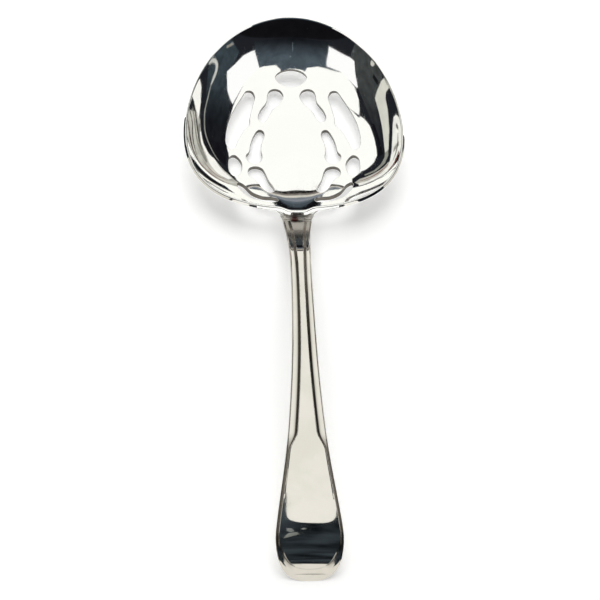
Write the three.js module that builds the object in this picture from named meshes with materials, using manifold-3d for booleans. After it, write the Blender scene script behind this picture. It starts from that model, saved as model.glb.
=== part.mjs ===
// A pierced berry spoon: a wide, shallow, egg-shaped bowl with thirteen openings, and a narrow
// handle with a raised centre panel that spreads at two shoulders into a plain, turned-down end.
// The bowl and the handle are two pieces of metal, soldered together at the heel.
//
// Millimetres. +Y runs from the handle to the bowl, +Z is up. The spoon lies on z = 0, on the
// flat under its bowl and on the tip of its handle, with the origin under the middle of it.

import * as THREE from 'three';
import { mergeVertices } from 'three/addons/utils/BufferGeometryUtils.js';
import Module from 'manifold-3d';

// The whole spoon
const LENGTH = 229;

// Bowl
const BOWL_LENGTH = 89.4;
const BOWL_WIDTH = 82.7;
const RIM_AT_HEEL = 10.4;      // rim above the table, next to the stem
const RIM_AT_TIP = 14.9;       // and at the other end, so the bowl looks up a little
const SHEET = 1.6;             // metal of the bowl
const HEEL_FULLNESS = 9.55;    // how far the widest line lies from the middle, towards the heel
const SIDE_SQUARENESS = 0.02;  // fuller corners than a plain oval, as a share of the width
const DEEPEST_AT = 37.5;       // deepest point, from the heel end of the rim
const FLAT_RADIUS = 5;         // flat under the deepest point
// Power of the wall's rise: higher is flatter below and steeper above
const CURVE_AT_TIP = 2.5;
const CURVE_AT_SIDES = 3.5;
const CURVE_AT_HEEL = 1.6;
const TIP_SPREAD = 0.5;        // how far the tip's curve reaches round the bowl: 2 is all the way
const HEEL_SPREAD = 0.18;      // and how far the heel's does
const RIM_RUN = 1.0;           // the rim is the sheet's edge, about square to the wall: its width
const RIM_DROP = 1.2;          // in plan, and its height

// Heel, where the rim runs out in a small point over the stem
const POINT_REACH = 2.2;
const POINT_HALF_WIDTH = 5;
const POINT_RISE = 0.45;       // how much it climbs as it runs out, so that the wall keeps its slope
const HEEL_REACH = 0.9;        // stem face beyond the tip of that point
const HEEL_STEP = 1.0;         // top of the stem below the rim
const HEEL_WIDTH = 10.4;
const HEEL_FLARE = 5.5;        // how much each side of the heel widens up to the bowl
const HEEL_DEPTH = 4.4;        // length of the heel from the stem face into the bowl's wall
const HEEL_THIN = 1.6;         // thickness that the heel tapers to in the bowl's wall
const SOLDER = 0.2;            // thickness of the soldered seam

// Handle
const NECK_WIDTH = 7.4;
const END_WIDTH = 22.3;
const ARCH_HEIGHT = 20.9;      // highest point of the handle's top
const NECK_THICKNESS = 3.2;
const END_THICKNESS = 2.3;
const END_ROUND = 14;          // length of the rounded end, along the metal
const END_SQUARENESS = 2.5;    // power of the rounded end's outline: 2 is a plain half ellipse
const BAND_AT_NECK = 2.55;     // side band, from the handle's edge to the raised panel
const BAND_AT_SHOULDERS = 3.2;
const PANEL_STEP = 0.5;        // height of the raised panel above the bands
const STEP_RUN = 0.85;         // width of the slope between them
const END_STEP_RUN = 0.3;      // and in the plain end, where it follows the edge
const TIP_STEP_RUN = 1.2;      // and at the tip, which is rounded over wider than the sides
const CROWN = 0.2;             // fall of the panel from its middle to its edges
const EDGE_RUN = 0.75;         // rounded top edge, inward
const EDGE_DROP = 0.7;         // rounded top edge, downward
const UNDER_ROUND = 0.6;       // rounded lower edge
const SHOULDERS_AT = 95.5;     // middle of the shoulders, along the metal from the seam
const SHOULDERS_LENGTH = 7;

// The openings, drawn from the deepest point of a bowl of this width and length
const DRAWN_WIDTH = 82.7;
const DRAWN_LENGTH = 89.4;
const LENS = { reach: 6, towardTip: 3.2, towardHeel: 3.7, at: 29.6 };
const OPENINGS = [
  // first slot, its wide end next to the lens
  [[6.6, 24.6], [4.3, 24.0], [3.2, 21.7], [4.9, 18.3], [7.6, 15.3], [9.3, 11.7],
    [11.2, 9.7], [12.8, 11.3], [12.0, 14.9], [9.5, 19.1], [9.1, 22.0], [8.4, 23.7]],
  // second slot, its wide end towards the heel
  [[12.9, 5.9], [11.4, 5.6], [10.8, 3.5], [11.8, -0.1], [12.2, -3.7], [11.8, -6.9],
    [12.9, -9.3], [14.9, -10.0], [17.1, -8.7], [17.7, -6.4], [16.5, -4.4], [16.0, -1.3],
    [14.8, 2.8]],
  // third slot, turning in towards the heel
  [[14.5, -11.5], [12.2, -12.2], [11.0, -14.6], [10.0, -18.6], [8.3, -23.0], [7.8, -25.6],
    [9.4, -26.5], [11.5, -24.5], [13.3, -20.7], [14.9, -17.9], [16.8, -15.9], [17.1, -13.7],
    [16.2, -12.1]],
  // long leaf up the side
  [[17.2, 22.8], [15.3, 23.0], [14.1, 21.1], [14.9, 17.1], [16.1, 11.5], [16.3, 8.2],
    [18.5, 5.4], [20.7, 0.6], [22.1, -3.0], [23.6, -4.0], [25.1, -1.9], [25.1, 3.1],
    [23.8, 9.2], [21.3, 15.4], [18.8, 20.2]],
  // small oval below the leaf
  [[22.4, -6.7], [20.9, -7.5], [19.5, -10.2], [19.6, -13.4], [20.8, -16.3], [22.5, -17.1],
    [24.0, -15.1], [24.4, -11.5], [24.0, -8.2]],
  // crescent along the heel end of the wall
  [[20.8, -20.5], [19.2, -21.4], [16.1, -26.3], [12.4, -29.0], [8.1, -29.8], [6.8, -30.9],
    [7.0, -32.4], [8.9, -32.8], [12.8, -32.2], [16.8, -30.1], [19.6, -26.3], [21.3, -22.1]],
];

// Fineness
const AROUND = 84;
const WALL_RINGS = 12;
const OPENING_SPACING = 1.7;

const wasm = await Module();
wasm.setup();

const { lerp, smoothstep } = THREE.MathUtils;
const vec = (x, y, z) => new THREE.Vector3(x, y, z);

// A smooth curve through (at, value) pairs, level at its start, as a function of at.
function smoothThrough(keys) {
  const slope = keys.map((key, i) => {
    if (i === 0) return 0;
    const before = keys[i - 1];
    const after = keys[Math.min(i + 1, keys.length - 1)];
    return (after[1] - before[1]) / (after[0] - before[0]);
  });
  return (at) => {
    let i = 0;
    while (i < keys.length - 2 && at > keys[i + 1][0]) i++;
    const span = keys[i + 1][0] - keys[i][0];
    const t = (at - keys[i][0]) / span;
    const a = (1 + 2 * t) * (1 - t) ** 2;
    const b = t * (1 - t) ** 2;
    const c = t * t * (3 - 2 * t);
    const d = t * t * (t - 1);
    return a * keys[i][1] + b * span * slope[i] + c * keys[i + 1][1] + d * span * slope[i + 1];
  };
}

// A closed surface over rings with as many points each. A null end is left as its ring is;
// an array of triangles caps it, and a point closes it with a fan.
function skinOver(rings, start, end) {
  const count = rings[0].length;
  const points = rings.flat();
  const index = [];
  for (let i = 0; i < rings.length - 1; i++) {
    for (let j = 0; j < count; j++) {
      const k = (j + 1) % count;
      const a = i * count + j;
      const b = i * count + k;
      index.push(a, b, b + count, a, b + count, a + count);
    }
  }
  const close = (first, cap, flip) => {
    const put = (a, b, c) => index.push(...(flip ? [a, c, b] : [a, b, c]));
    if (Array.isArray(cap)) {
      for (const [a, b, c] of cap) put(first + a, first + b, first + c);
    } else if (cap) {
      const apex = points.push(cap) - 1;
      for (let j = 0; j < count; j++) put(first + j, first + ((j + 1) % count), apex);
    }
  };
  close(0, start, true);
  close((rings.length - 1) * count, end, false);
  const geometry = new THREE.BufferGeometry().setFromPoints(points);
  geometry.setIndex(index);
  return withoutSlivers(mergeVertices(geometry, 1e-4));
}

// The same geometry without triangles that have two corners in one point.
function withoutSlivers(geometry) {
  const old = geometry.index.array;
  const index = [];
  for (let i = 0; i < old.length; i += 3) {
    const [a, b, c] = old.slice(i, i + 3);
    if (a !== b && b !== c && c !== a) index.push(a, b, c);
  }
  geometry.setIndex(index);
  return geometry;
}

function toSolid(geometry) {
  const vertProperties = Float32Array.from(geometry.attributes.position.array);
  const triVerts = Uint32Array.from(geometry.index.array);
  return new wasm.Manifold(new wasm.Mesh({ numProp: 3, vertProperties, triVerts }));
}

function toGeometry(solid) {
  const { vertProperties, triVerts } = solid.getMesh();
  const geometry = new THREE.BufferGeometry();
  geometry.setAttribute('position', new THREE.BufferAttribute(Float32Array.from(vertProperties), 3));
  geometry.setIndex([...triVerts]);
  return geometry;
}

// Bowl

const tipOfBowl = LENGTH / 2;
const heelOfBowl = tipOfBowl - BOWL_LENGTH;
const middleOfBowl = tipOfBowl - BOWL_LENGTH / 2;
const deepestY = heelOfBowl + DEEPEST_AT;
const stemFace = heelOfBowl - POINT_REACH - HEEL_REACH;
const flatShare = FLAT_RADIUS / (BOWL_WIDTH / 2);

// Point of the rim's outline, an egg shape, at angle t from the tip, moved in by an inset.
function rimPoint(t, inset) {
  const fullness = (Math.sin(t) + SIDE_SQUARENESS * Math.sin(3 * t)) / (1 - SIDE_SQUARENESS);
  const x = (BOWL_WIDTH / 2 - inset) * fullness;
  const y = middleOfBowl + (BOWL_LENGTH / 2 - inset) * Math.cos(t) - HEEL_FULLNESS * Math.sin(t) ** 2;
  return { x, y };
}

// Power of the wall's rise at angle t from the tip.
function wallCurve(t) {
  const tip = (CURVE_AT_TIP - CURVE_AT_SIDES) * Math.exp((Math.cos(t) - 1) / TIP_SPREAD);
  const heel = (CURVE_AT_HEEL - CURVE_AT_SIDES) * Math.exp((-Math.cos(t) - 1) / HEEL_SPREAD);
  return CURVE_AT_SIDES + tip + heel;
}

const rimHeight = (y) => lerp(RIM_AT_HEEL, RIM_AT_TIP, (y - heelOfBowl) / BOWL_LENGTH);

// Point inside the bowl: share 0 is its deepest point and 1 its rim. Near the heel the rim
// runs out and up to the small point, which fades away down the wall.
function insidePoint(share, t) {
  const rim = rimPoint(t, RIM_RUN);
  const rise = Math.max(0, (share - flatShare) / (1 - flatShare)) ** wallCurve(t);
  const x = share * rim.x;
  const y = deepestY + share * (rim.y - deepestY);
  const reach = rim.y < deepestY ? POINT_REACH * Math.exp(-((x / POINT_HALF_WIDTH) ** 4)) : 0;
  const point = reach * share ** 10;
  return vec(x, y - point, SHEET + (rimHeight(rim.y) - SHEET) * rise + POINT_RISE * point);
}

function insideNormal(share, t) {
  if (share <= flatShare) return vec(0, 0, 1);
  const h = 1e-3;
  const outward = insidePoint(share + h, t).sub(insidePoint(share - h, t));
  const along = insidePoint(share, t + h).sub(insidePoint(share, t - h));
  return outward.cross(along).normalize().multiplyScalar(-1);
}

// Angles round the bowl, closest together at the heel, where the outline turns most.
const angles = Array.from({ length: AROUND }, (_, i) => {
  const even = (2 * Math.PI * i) / AROUND;
  return even + 0.6 * Math.sin(even);
});
const wallShares = Array.from({ length: WALL_RINGS + 1 }, (_, i) => {
  return lerp(flatShare, 1, (i / WALL_RINGS) ** 0.8);
});

function outsidePoint(share, t) {
  return insidePoint(share, t).addScaledVector(insideNormal(share, t), -SHEET);
}

// Point of the rim's face: share 0 is its inner edge and 1 its outer edge.
function rimFace(t, share) {
  const inner = insidePoint(1, t);
  const away = insideNormal(1, t).setZ(0).normalize().multiplyScalar(-RIM_RUN * share);
  return inner.add(away).setZ(inner.z - RIM_DROP * share);
}

// The blank's rim face runs on a little past its inner edge, so that the hollow cuts it there.
const outsideRings = wallShares.slice(0, -1).map((share) => angles.map((t) => outsidePoint(share, t)));
outsideRings.push(angles.map((t) => rimFace(t, 1)));
outsideRings.push(angles.map((t) => rimFace(t, -0.2)));
const blank = toSolid(skinOver(
  outsideRings.map((ring) => ring.slice().reverse()),
  vec(0, deepestY, 0),
  vec(0, deepestY, rimHeight(deepestY)),
));

// The hollow, carried on past the rim so that it opens upward.
const hollowShares = [...wallShares.slice(0, -1), 0.985, 1.03];
const hollowTop = 2 * RIM_AT_TIP;
const hollow = toSolid(skinOver(
  hollowShares.map((share) => angles.map((t) => insidePoint(share, t)).reverse()),
  vec(0, deepestY, SHEET),
  vec(0, deepestY, hollowTop),
));

// Share and angle of the point of the bowl above plan position x, y, by halving.
function locate(x, y) {
  const aim = Math.atan2(Math.abs(x), y - deepestY);
  let low = 0;
  let high = Math.PI;
  for (let i = 0; i < 40; i++) {
    const middle = (low + high) / 2;
    const rim = rimPoint(middle, RIM_RUN);
    if (Math.atan2(rim.x, rim.y - deepestY) < aim) low = middle;
    else high = middle;
  }
  const rim = rimPoint(low, RIM_RUN);
  const share = Math.hypot(x, y - deepestY) / Math.hypot(rim.x, rim.y - deepestY);
  return { share, t: x < 0 ? -low : low };
}

// A punch for an opening: its sides stand square to the bowl's surface.
function punch(outline) {
  const plan = THREE.ShapeUtils.isClockWise(outline) ? outline.slice().reverse() : outline;
  const places = plan.map(({ x, y }) => locate(x, y + deepestY));
  const ring = (offset) => places.map(({ share, t }) => {
    return insidePoint(share, t).addScaledVector(insideNormal(share, t), offset);
  });
  const cap = THREE.ShapeUtils.triangulateShape(plan, []);
  return toSolid(skinOver([ring(-2 * SHEET), ring(SHEET)], cap, cap));
}

// An opening's outline for one side of the bowl: side is 1 or -1.
function openingOutline(points, side) {
  const across = (side * BOWL_WIDTH) / DRAWN_WIDTH;
  const along = BOWL_LENGTH / DRAWN_LENGTH;
  const corners = points.map(([x, y]) => vec(x * across, y * along, 0));
  const curve = new THREE.CatmullRomCurve3(corners, true, 'centripetal');
  const steps = Math.round(curve.getLength() / OPENING_SPACING);
  return curve.getSpacedPoints(steps).slice(0, -1).map(({ x, y }) => new THREE.Vector2(x, y));
}

// The lens: two arcs that meet in points at its ends.
function lensOutline() {
  const across = (LENS.reach * BOWL_WIDTH) / DRAWN_WIDTH;
  const along = BOWL_LENGTH / DRAWN_LENGTH;
  const steps = 24;
  return Array.from({ length: steps }, (_, i) => {
    const turn = (2 * Math.PI * i) / steps;
    const bulge = turn < Math.PI ? LENS.towardTip : LENS.towardHeel;
    return new THREE.Vector2(
      across * Math.cos(turn),
      along * (LENS.at + bulge * Math.sin(turn) * Math.abs(Math.sin(turn)) ** 0.3),
    );
  });
}

const outlines = [lensOutline()];
for (const points of OPENINGS) {
  for (const side of [1, -1]) outlines.push(openingOutline(points, side));
}

// Cross-section of the stem and handle. halfWidth is to the outline, whose outward direction
// is (outX, outS) in the sheet of metal; panelInset is from the outline to the raised panel.
// Each point has x across, s along the metal from the outline's station, and n above its top.
function section({ halfWidth, outX, outS, panelInset, stepRun, thickness }) {
  const at = (inset, drop) => ({ x: halfWidth - inset * outX, s: -inset * outS, n: -drop });
  const bandDrop = CROWN + PANEL_STEP;
  const panelEdge = at(panelInset, CROWN);
  const half = [
    { x: 0, s: panelEdge.s, n: 0 },
    { x: 0.55 * panelEdge.x, s: panelEdge.s, n: -0.3 * CROWN },
    panelEdge,
    at(panelInset - stepRun, bandDrop),
    at(EDGE_RUN, bandDrop + 0.07 * EDGE_DROP),
    at(0.3 * EDGE_RUN, bandDrop + 0.35 * EDGE_DROP),
    at(0, bandDrop + EDGE_DROP),
    at(0, thickness - UNDER_ROUND),
    at(UNDER_ROUND, thickness),
    { x: 0, s: -UNDER_ROUND * outS, n: -thickness },
  ];
  const otherHalf = half.slice(1, -1).reverse().map(({ x, s, n }) => ({ x: -x, s, n }));
  return [...half, ...otherHalf];
}

const stemTop = RIM_AT_HEEL - HEEL_STEP;
const stemSection = (halfWidth) => section({
  halfWidth, outX: 1, outS: 0, panelInset: BAND_AT_NECK, stepRun: STEP_RUN, thickness: NECK_THICKNESS,
});
const heelMiddle = (y, thickness) => vec(0, y, stemTop - thickness / 2);

// The heel widens in a quarter turn from the stem's width, and thins until it is lost in the
// bowl's wall.
const heelRings = Array.from({ length: 9 }, (_, i) => {
  const turn = (Math.PI / 2) * (i / 8);
  const halfWidth = HEEL_WIDTH / 2 + HEEL_FLARE * (1 - Math.cos(turn));
  const y = stemFace + HEEL_DEPTH * Math.sin(turn);
  const thinning = lerp(1, HEEL_THIN / NECK_THICKNESS, Math.sin(turn));
  return stemSection(halfWidth).map(({ x, n }) => vec(x, y, stemTop + n * thinning));
});
const heel = toSolid(skinOver(
  heelRings,
  heelMiddle(stemFace, NECK_THICKNESS),
  heelMiddle(stemFace + HEEL_DEPTH, HEEL_THIN),
));

let bowlSolid = blank.add(heel).subtract(hollow);
for (const outline of outlines) bowlSolid = bowlSolid.subtract(punch(outline));

// Seam

const seamRing = (y) => stemSection(HEEL_WIDTH / 2).map(({ x, n }) => vec(x, y, stemTop + n));
const handleFace = stemFace - SOLDER;
const seamGeometry = skinOver(
  [seamRing(handleFace), seamRing(stemFace)],
  heelMiddle(handleFace, NECK_THICKNESS),
  heelMiddle(stemFace, NECK_THICKNESS),
);

// Handle

// Rings of the handle, from its tip to the seam, for a top surface that ends at tipY, tipZ.
function handleRings(tipY, tipZ) {
  const rise = (share) => lerp(stemTop, ARCH_HEIGHT, share);
  const fall = (share) => lerp(tipZ, ARCH_HEIGHT, share);
  const height = smoothThrough([
    [0, stemTop], [0.045, rise(0.134)], [0.07, rise(0.255)], [0.1, rise(0.43)],
    [0.135, rise(0.627)], [0.18, rise(0.784)], [0.23, rise(0.89)], [0.29, rise(0.968)],
    [0.36, ARCH_HEIGHT], [0.44, fall(0.977)], [0.53, fall(0.912)], [0.62, fall(0.82)],
    [0.71, fall(0.712)], [0.79, fall(0.611)], [0.85, fall(0.534)], [0.885, fall(0.484)],
    [0.915, fall(0.425)], [0.945, fall(0.327)], [0.97, fall(0.209)], [1, tipZ],
  ]);
  const spine = new THREE.Curve();
  spine.getPoint = (u, target = vec()) => target.set(0, lerp(handleFace, tipY, u), height(u));
  const length = spine.getLength();
  const widen = (share) => lerp(NECK_WIDTH, END_WIDTH, share) / 2;
  const width = smoothThrough([
    [0, HEEL_WIDTH / 2], [0.05, lerp(NECK_WIDTH, HEEL_WIDTH, 0.45) / 2],
    [0.114, lerp(NECK_WIDTH, HEEL_WIDTH, 0.18) / 2], [0.244, widen(0)], [0.44, widen(0.08)],
    [0.58, widen(0.23)], [0.701, widen(0.45)], [0.836, widen(0.83)], [0.897, widen(0.985)],
    [0.926, widen(1)], [1, widen(1)],
  ]);
  const endStart = length - END_ROUND;

  // Stations along the straight sides, closest together at the neck and at the shoulders
  const stations = [];
  let s = 0;
  while (s < endStart - 1) {
    const h = 0.05;
    const spread = s < h ? 0 : (width((s + h) / length) - width((s - h) / length)) / (2 * h);
    stations.push({ s, halfWidth: width(s / length), out: Math.atan2(-spread, 1) });
    const nearShoulders = Math.abs(s - SHOULDERS_AT) < SHOULDERS_LENGTH / 2 + 1;
    s += nearShoulders ? 1.5 : s < 25 ? 2.5 : 4;
  }
  // Stations round the end
  const steps = 12;
  const widest = width(endStart / length);
  for (let i = 0; i <= steps; i++) {
    const turn = (Math.PI / 2) * (i / steps);
    const across = Math.cos(turn) ** (2 / END_SQUARENESS);
    const along = Math.sin(turn) ** (2 / END_SQUARENESS);
    stations.push({
      s: endStart + END_ROUND * along,
      halfWidth: i === steps ? 0 : widest * across,
      out: i === steps ? Math.PI / 2 : Math.atan2(
        along ** (END_SQUARENESS - 1) / END_ROUND,
        across ** (END_SQUARENESS - 1) / widest,
      ),
    });
  }

  return stations.map(({ s: at, halfWidth, out }) => {
    const flare = smoothstep(at, SHOULDERS_AT - SHOULDERS_LENGTH / 2, SHOULDERS_AT + SHOULDERS_LENGTH / 2);
    const band = lerp(BAND_AT_NECK, BAND_AT_SHOULDERS, Math.min(1, at / SHOULDERS_AT));
    const plainRun = lerp(END_STEP_RUN, TIP_STEP_RUN, smoothstep(at, endStart, length));
    const plainInset = EDGE_RUN + plainRun + 0.1;
    const points = section({
      halfWidth,
      outX: halfWidth === 0 ? 0 : Math.cos(out),
      outS: Math.sin(out),
      panelInset: lerp(band, plainInset, flare),
      stepRun: lerp(STEP_RUN, plainRun, flare),
      thickness: lerp(NECK_THICKNESS, END_THICKNESS, smoothstep(at, 0, length)),
    });
    return points.map(({ x, s: offset, n }) => {
      const u = Math.min(1, Math.max(0, (at + offset) / length));
      const origin = spine.getPointAt(u);
      const tangent = at === 0 ? vec(0, -1, 0) : spine.getTangentAt(u);
      return vec(x, origin.y - tangent.z * n, origin.z + -tangent.y * n);
    });
  });
}

// The end is turned down until it touches the table, and reaches exactly to the overall length.
let tipY = -LENGTH / 2;
let tipZ = 0;
let rings = handleRings(tipY, tipZ);
for (let pass = 0; pass < 4; pass++) {
  const low = new THREE.Box3().setFromPoints(rings.flat()).min;
  tipY -= LENGTH / 2 + low.y;
  tipZ -= low.z;
  rings = handleRings(tipY, tipZ);
}
const handleGeometry = skinOver(rings.reverse(), null, heelMiddle(handleFace, NECK_THICKNESS));

// Scene

const silver = (name, color, roughness) => {
  return new THREE.MeshStandardMaterial({ name, color, roughness, metalness: 1 });
};

function piece(name, geometry, material) {
  geometry.computeVertexNormals();
  const mesh = new THREE.Mesh(geometry, material);
  mesh.name = name;
  return mesh;
}

const spoon = new THREE.Group();
spoon.name = 'berry_spoon';
spoon.add(
  piece('bowl', toGeometry(bowlSolid), silver('polished silver', 0xe9e7e2, 0.08)),
  piece('solder_seam', seamGeometry, silver('silver solder', 0xc9c5ba, 0.3)),
  piece('handle', handleGeometry, silver('polished silver', 0xe6e3dc, 0.1)),
);

export default spoon;
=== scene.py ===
# %% [markdown]
# # A pierced berry spoon in polished silver
# The spoon lies on a white table, hollow up, and its mirror finish shows the studio around it.
# Everything is built over a plain model of the spoon, in its own frame: metres, +Y from the tip
# of the handle to the tip of the bowl, +Z up, the table at z = 0.

# %% Load the frame
import math
import bpy
import numpy as np
from mathutils import Matrix, Vector, kdtree
from mathutils.geometry import delaunay_2d_cdt


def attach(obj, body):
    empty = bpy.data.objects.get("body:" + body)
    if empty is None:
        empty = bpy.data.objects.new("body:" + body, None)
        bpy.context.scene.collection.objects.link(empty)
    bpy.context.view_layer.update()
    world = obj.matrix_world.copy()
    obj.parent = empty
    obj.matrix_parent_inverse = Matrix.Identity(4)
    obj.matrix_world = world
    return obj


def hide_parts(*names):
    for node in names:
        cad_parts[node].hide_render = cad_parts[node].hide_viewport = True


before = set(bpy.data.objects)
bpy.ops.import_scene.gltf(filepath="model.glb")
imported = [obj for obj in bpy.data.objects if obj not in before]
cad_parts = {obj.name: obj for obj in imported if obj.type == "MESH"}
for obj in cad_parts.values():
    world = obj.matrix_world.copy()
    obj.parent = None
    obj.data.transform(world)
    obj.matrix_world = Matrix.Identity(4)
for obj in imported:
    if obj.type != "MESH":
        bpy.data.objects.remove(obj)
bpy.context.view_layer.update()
MM = 0.001
print("nodes:", sorted(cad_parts))

# %% [markdown]
# Two helpers serve the whole lesson. Colours are written as the hex values that a colour picker
# shows, which are sRGB, and Blender's sockets want linear values, so one function turns them.
# Node trees are built by one function that adds a node, sets its settings and fills its inputs.
# Some kinds and settings come often and get short names. A Map Range node takes the value, the two
# ends it comes from and the two it goes to. A colour Mix node takes its share at input 0 and its
# colours at inputs 6 and 7.

# %% Helpers for colours and nodes
def linear(hex_colour):
    """An sRGB hex colour as linear red, green, blue and 1."""
    parts = [int(hex_colour[i:i + 2], 16) / 255 for i in (0, 2, 4)]
    return [c / 12.92 if c <= 0.04045 else ((c + 0.055) / 1.055) ** 2.4 for c in parts] + [1.0]


def add(tree, kind, inputs=(), out=0, **settings):
    """Add a node. Inputs are a list in order or a dict by name: values, or sockets to link."""
    node = tree.nodes.new(kind)
    for key, value in settings.items():
        setattr(node, key, value)
    pairs = inputs.items() if isinstance(inputs, dict) else enumerate(inputs)
    for key, value in pairs:
        if isinstance(value, bpy.types.NodeSocket):
            tree.links.new(value, node.inputs[key])
        elif value is not None:
            node.inputs[key].default_value = value
    return node.outputs[out] if len(node.outputs) else node


MATH, VECTOR, RANGE = "ShaderNodeMath", "ShaderNodeVectorMath", "ShaderNodeMapRange"
MIX, NOISE = "ShaderNodeMix", "ShaderNodeTexNoise"
SMOOTH = {"interpolation_type": "SMOOTHSTEP"}
RGBA = {"out": 2, "data_type": "RGBA"}
print("mid grey is", [round(part, 3) for part in linear("808080")])

# %% [markdown]
# ## The rule of the bowl
# A real bowl of this kind is stamped: a flat blank is pierced with its openings and pressed
# between two dies into an egg-shaped hollow. The dies follow one rule. Lines run straight out
# from the deepest point to the rim, and along each the wall starts flat and rises with a power of
# the share of the way. The power is high at the sides, whose walls turn up late and steeply, and
# low at the heel, where the stem's pull keeps the wall gentle. The rim stands higher at the tip
# than at the heel. Geometry Nodes suit such a piece, because the rule stays a rule: the tree takes
# a flat pierced blank and presses it, and its sizes are named inputs.

# %% Sizes of the bowl, in millimetres
SIZES = {
    "Bowl width": 82.7,
    "Bowl length": 89.4,
    "Rim at heel": 10.4,
    "Rim at tip": 14.9,
    "Sheet": 1.6,
    "Middle": 69.8,
    "Deepest": 62.6,
    "Heel fullness": 9.55,
    "Squareness": 0.02,
    "Rim inset": 1.0,
    "Flat share": 5 / 41.35,
    "Curve at tip": 2.5,
    "Curve at sides": 3.5,
    "Curve at heel": 1.6,
    "Tip spread": 0.5,
    "Heel spread": 0.18,
    "Point reach": 2.2,
    "Point half width": 5.0,
    "Point rise": 0.45,
}
print("bowl:", SIZES["Bowl length"], "x", SIZES["Bowl width"], "mm")

# %% [markdown]
# Three node groups make the bowl, and every one of them has the sizes among its inputs. So a
# group is started by one function, which names its inputs and outputs and hands back the sockets.

# %% Starting a node group
def new_group(name, inputs, outputs):
    """An empty group with these (name, socket kind) inputs and outputs, and its inputs by name."""
    tree = bpy.data.node_groups.new(name, "GeometryNodeTree")
    for direction, sockets in (("INPUT", inputs), ("OUTPUT", outputs)):
        for socket_name, kind in sockets:
            tree.interface.new_socket(socket_name, in_out=direction, socket_type=kind)
    ends = add(tree, "NodeGroupInput").node
    return tree, {socket.name: socket for socket in ends.outputs if socket.name}


size_sockets = [(name, "NodeSocketFloat") for name in SIZES]
on_die = [("Across", "NodeSocketFloat"), ("Along", "NodeSocketFloat")]
print("each group has", len(size_sockets), "sizes")

# %% [markdown]
# The first node group is the rule itself. It turns a place on the blank, given as the share of
# the way to the rim times the sine and cosine of the angle round it, into a point of the hollow.
# Each line of the table is one Math node: a name for its result, the operation, and its terms.

# %% Node group: a point of the hollow
rule, value = new_group("Hollow rule", on_die + size_sockets, [("Point", "NodeSocketVector")])
FORMULA = [
    ("across_sq", "MULTIPLY", "Across", "Across"),
    ("along_sq", "MULTIPLY", "Along", "Along"),
    ("share_sq", "ADD", "across_sq", "along_sq"),
    ("share_raw", "SQRT", "share_sq"),
    ("share", "MAXIMUM", "share_raw", 1e-6),
    ("sine", "DIVIDE", "Across", "share"),
    ("cosine", "DIVIDE", "Along", "share"),
    ("sine_sq", "MULTIPLY", "sine", "sine"),
    ("four_sine_sq", "MULTIPLY", "sine_sq", 4.0),
    ("three_less", "SUBTRACT", 3.0, "four_sine_sq"),
    ("third_wave", "MULTIPLY", "sine", "three_less"),
    ("full", "MULTIPLY_ADD", "third_wave", "Squareness", "sine"),
    ("one_less", "SUBTRACT", 1.0, "Squareness"),
    ("fullness", "DIVIDE", "full", "one_less"),
    ("half_width", "MULTIPLY", "Bowl width", 0.5),
    ("half_inner", "SUBTRACT", "half_width", "Rim inset"),
    ("rim_x", "MULTIPLY", "half_inner", "fullness"),
    ("half_length", "MULTIPLY", "Bowl length", 0.5),
    ("half_long", "SUBTRACT", "half_length", "Rim inset"),
    ("pull", "MULTIPLY", "Heel fullness", "sine_sq"),
    ("reach", "MULTIPLY", "half_long", "cosine"),
    ("pulled", "SUBTRACT", "reach", "pull"),
    ("lead", "SUBTRACT", "Middle", "Deepest"),
    ("rim_y", "ADD", "pulled", "lead"),
    ("x", "MULTIPLY", "share", "rim_x"),
    ("y", "MULTIPLY", "share", "rim_y"),
    ("x_ratio", "DIVIDE", "x", "Point half width"),
    ("x_ratio_sq", "MULTIPLY", "x_ratio", "x_ratio"),
    ("x_fourth", "MULTIPLY", "x_ratio_sq", "x_ratio_sq"),
    ("x_down", "MULTIPLY", "x_fourth", -1.0),
    ("bell", "EXPONENT", "x_down"),
    ("at_heel", "LESS_THAN", "rim_y", 0.0),
    ("bell_heel", "MULTIPLY", "bell", "at_heel"),
    ("fade", "POWER", "share", 10.0),
    ("point_shape", "MULTIPLY", "bell_heel", "fade"),
    ("point", "MULTIPLY", "point_shape", "Point reach"),
    ("y_point", "SUBTRACT", "y", "point"),
    ("past_flat", "SUBTRACT", "share", "Flat share"),
    ("past", "MAXIMUM", "past_flat", 0.0),
    ("wall_run", "SUBTRACT", 1.0, "Flat share"),
    ("wall_share", "DIVIDE", "past", "wall_run"),
    ("tip_turn", "SUBTRACT", "cosine", 1.0),
    ("tip_far", "DIVIDE", "tip_turn", "Tip spread"),
    ("tip_bell", "EXPONENT", "tip_far"),
    ("tip_extra", "SUBTRACT", "Curve at tip", "Curve at sides"),
    ("heel_turn", "MULTIPLY_ADD", "cosine", -1.0, -1.0),
    ("heel_far", "DIVIDE", "heel_turn", "Heel spread"),
    ("heel_bell", "EXPONENT", "heel_far"),
    ("heel_extra", "SUBTRACT", "Curve at heel", "Curve at sides"),
    ("tip_curve", "MULTIPLY_ADD", "tip_extra", "tip_bell", "Curve at sides"),
    ("curve", "MULTIPLY_ADD", "heel_extra", "heel_bell", "tip_curve"),
    ("rise", "POWER", "wall_share", "curve"),
    ("heel_end", "SUBTRACT", "lead", "half_length"),
    ("from_heel", "SUBTRACT", "rim_y", "heel_end"),
    ("tilt_share", "DIVIDE", "from_heel", "Bowl length"),
    ("rim_gain", "SUBTRACT", "Rim at tip", "Rim at heel"),
    ("rim_height", "MULTIPLY_ADD", "rim_gain", "tilt_share", "Rim at heel"),
    ("height", "SUBTRACT", "rim_height", "Sheet"),
    ("wall_z", "MULTIPLY_ADD", "height", "rise", "Sheet"),
    ("z", "MULTIPLY_ADD", "point", "Point rise", "wall_z"),
]
for name, operation, *terms in FORMULA:
    value[name] = add(rule, MATH, [value.get(t, t) for t in terms], operation=operation)
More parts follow.
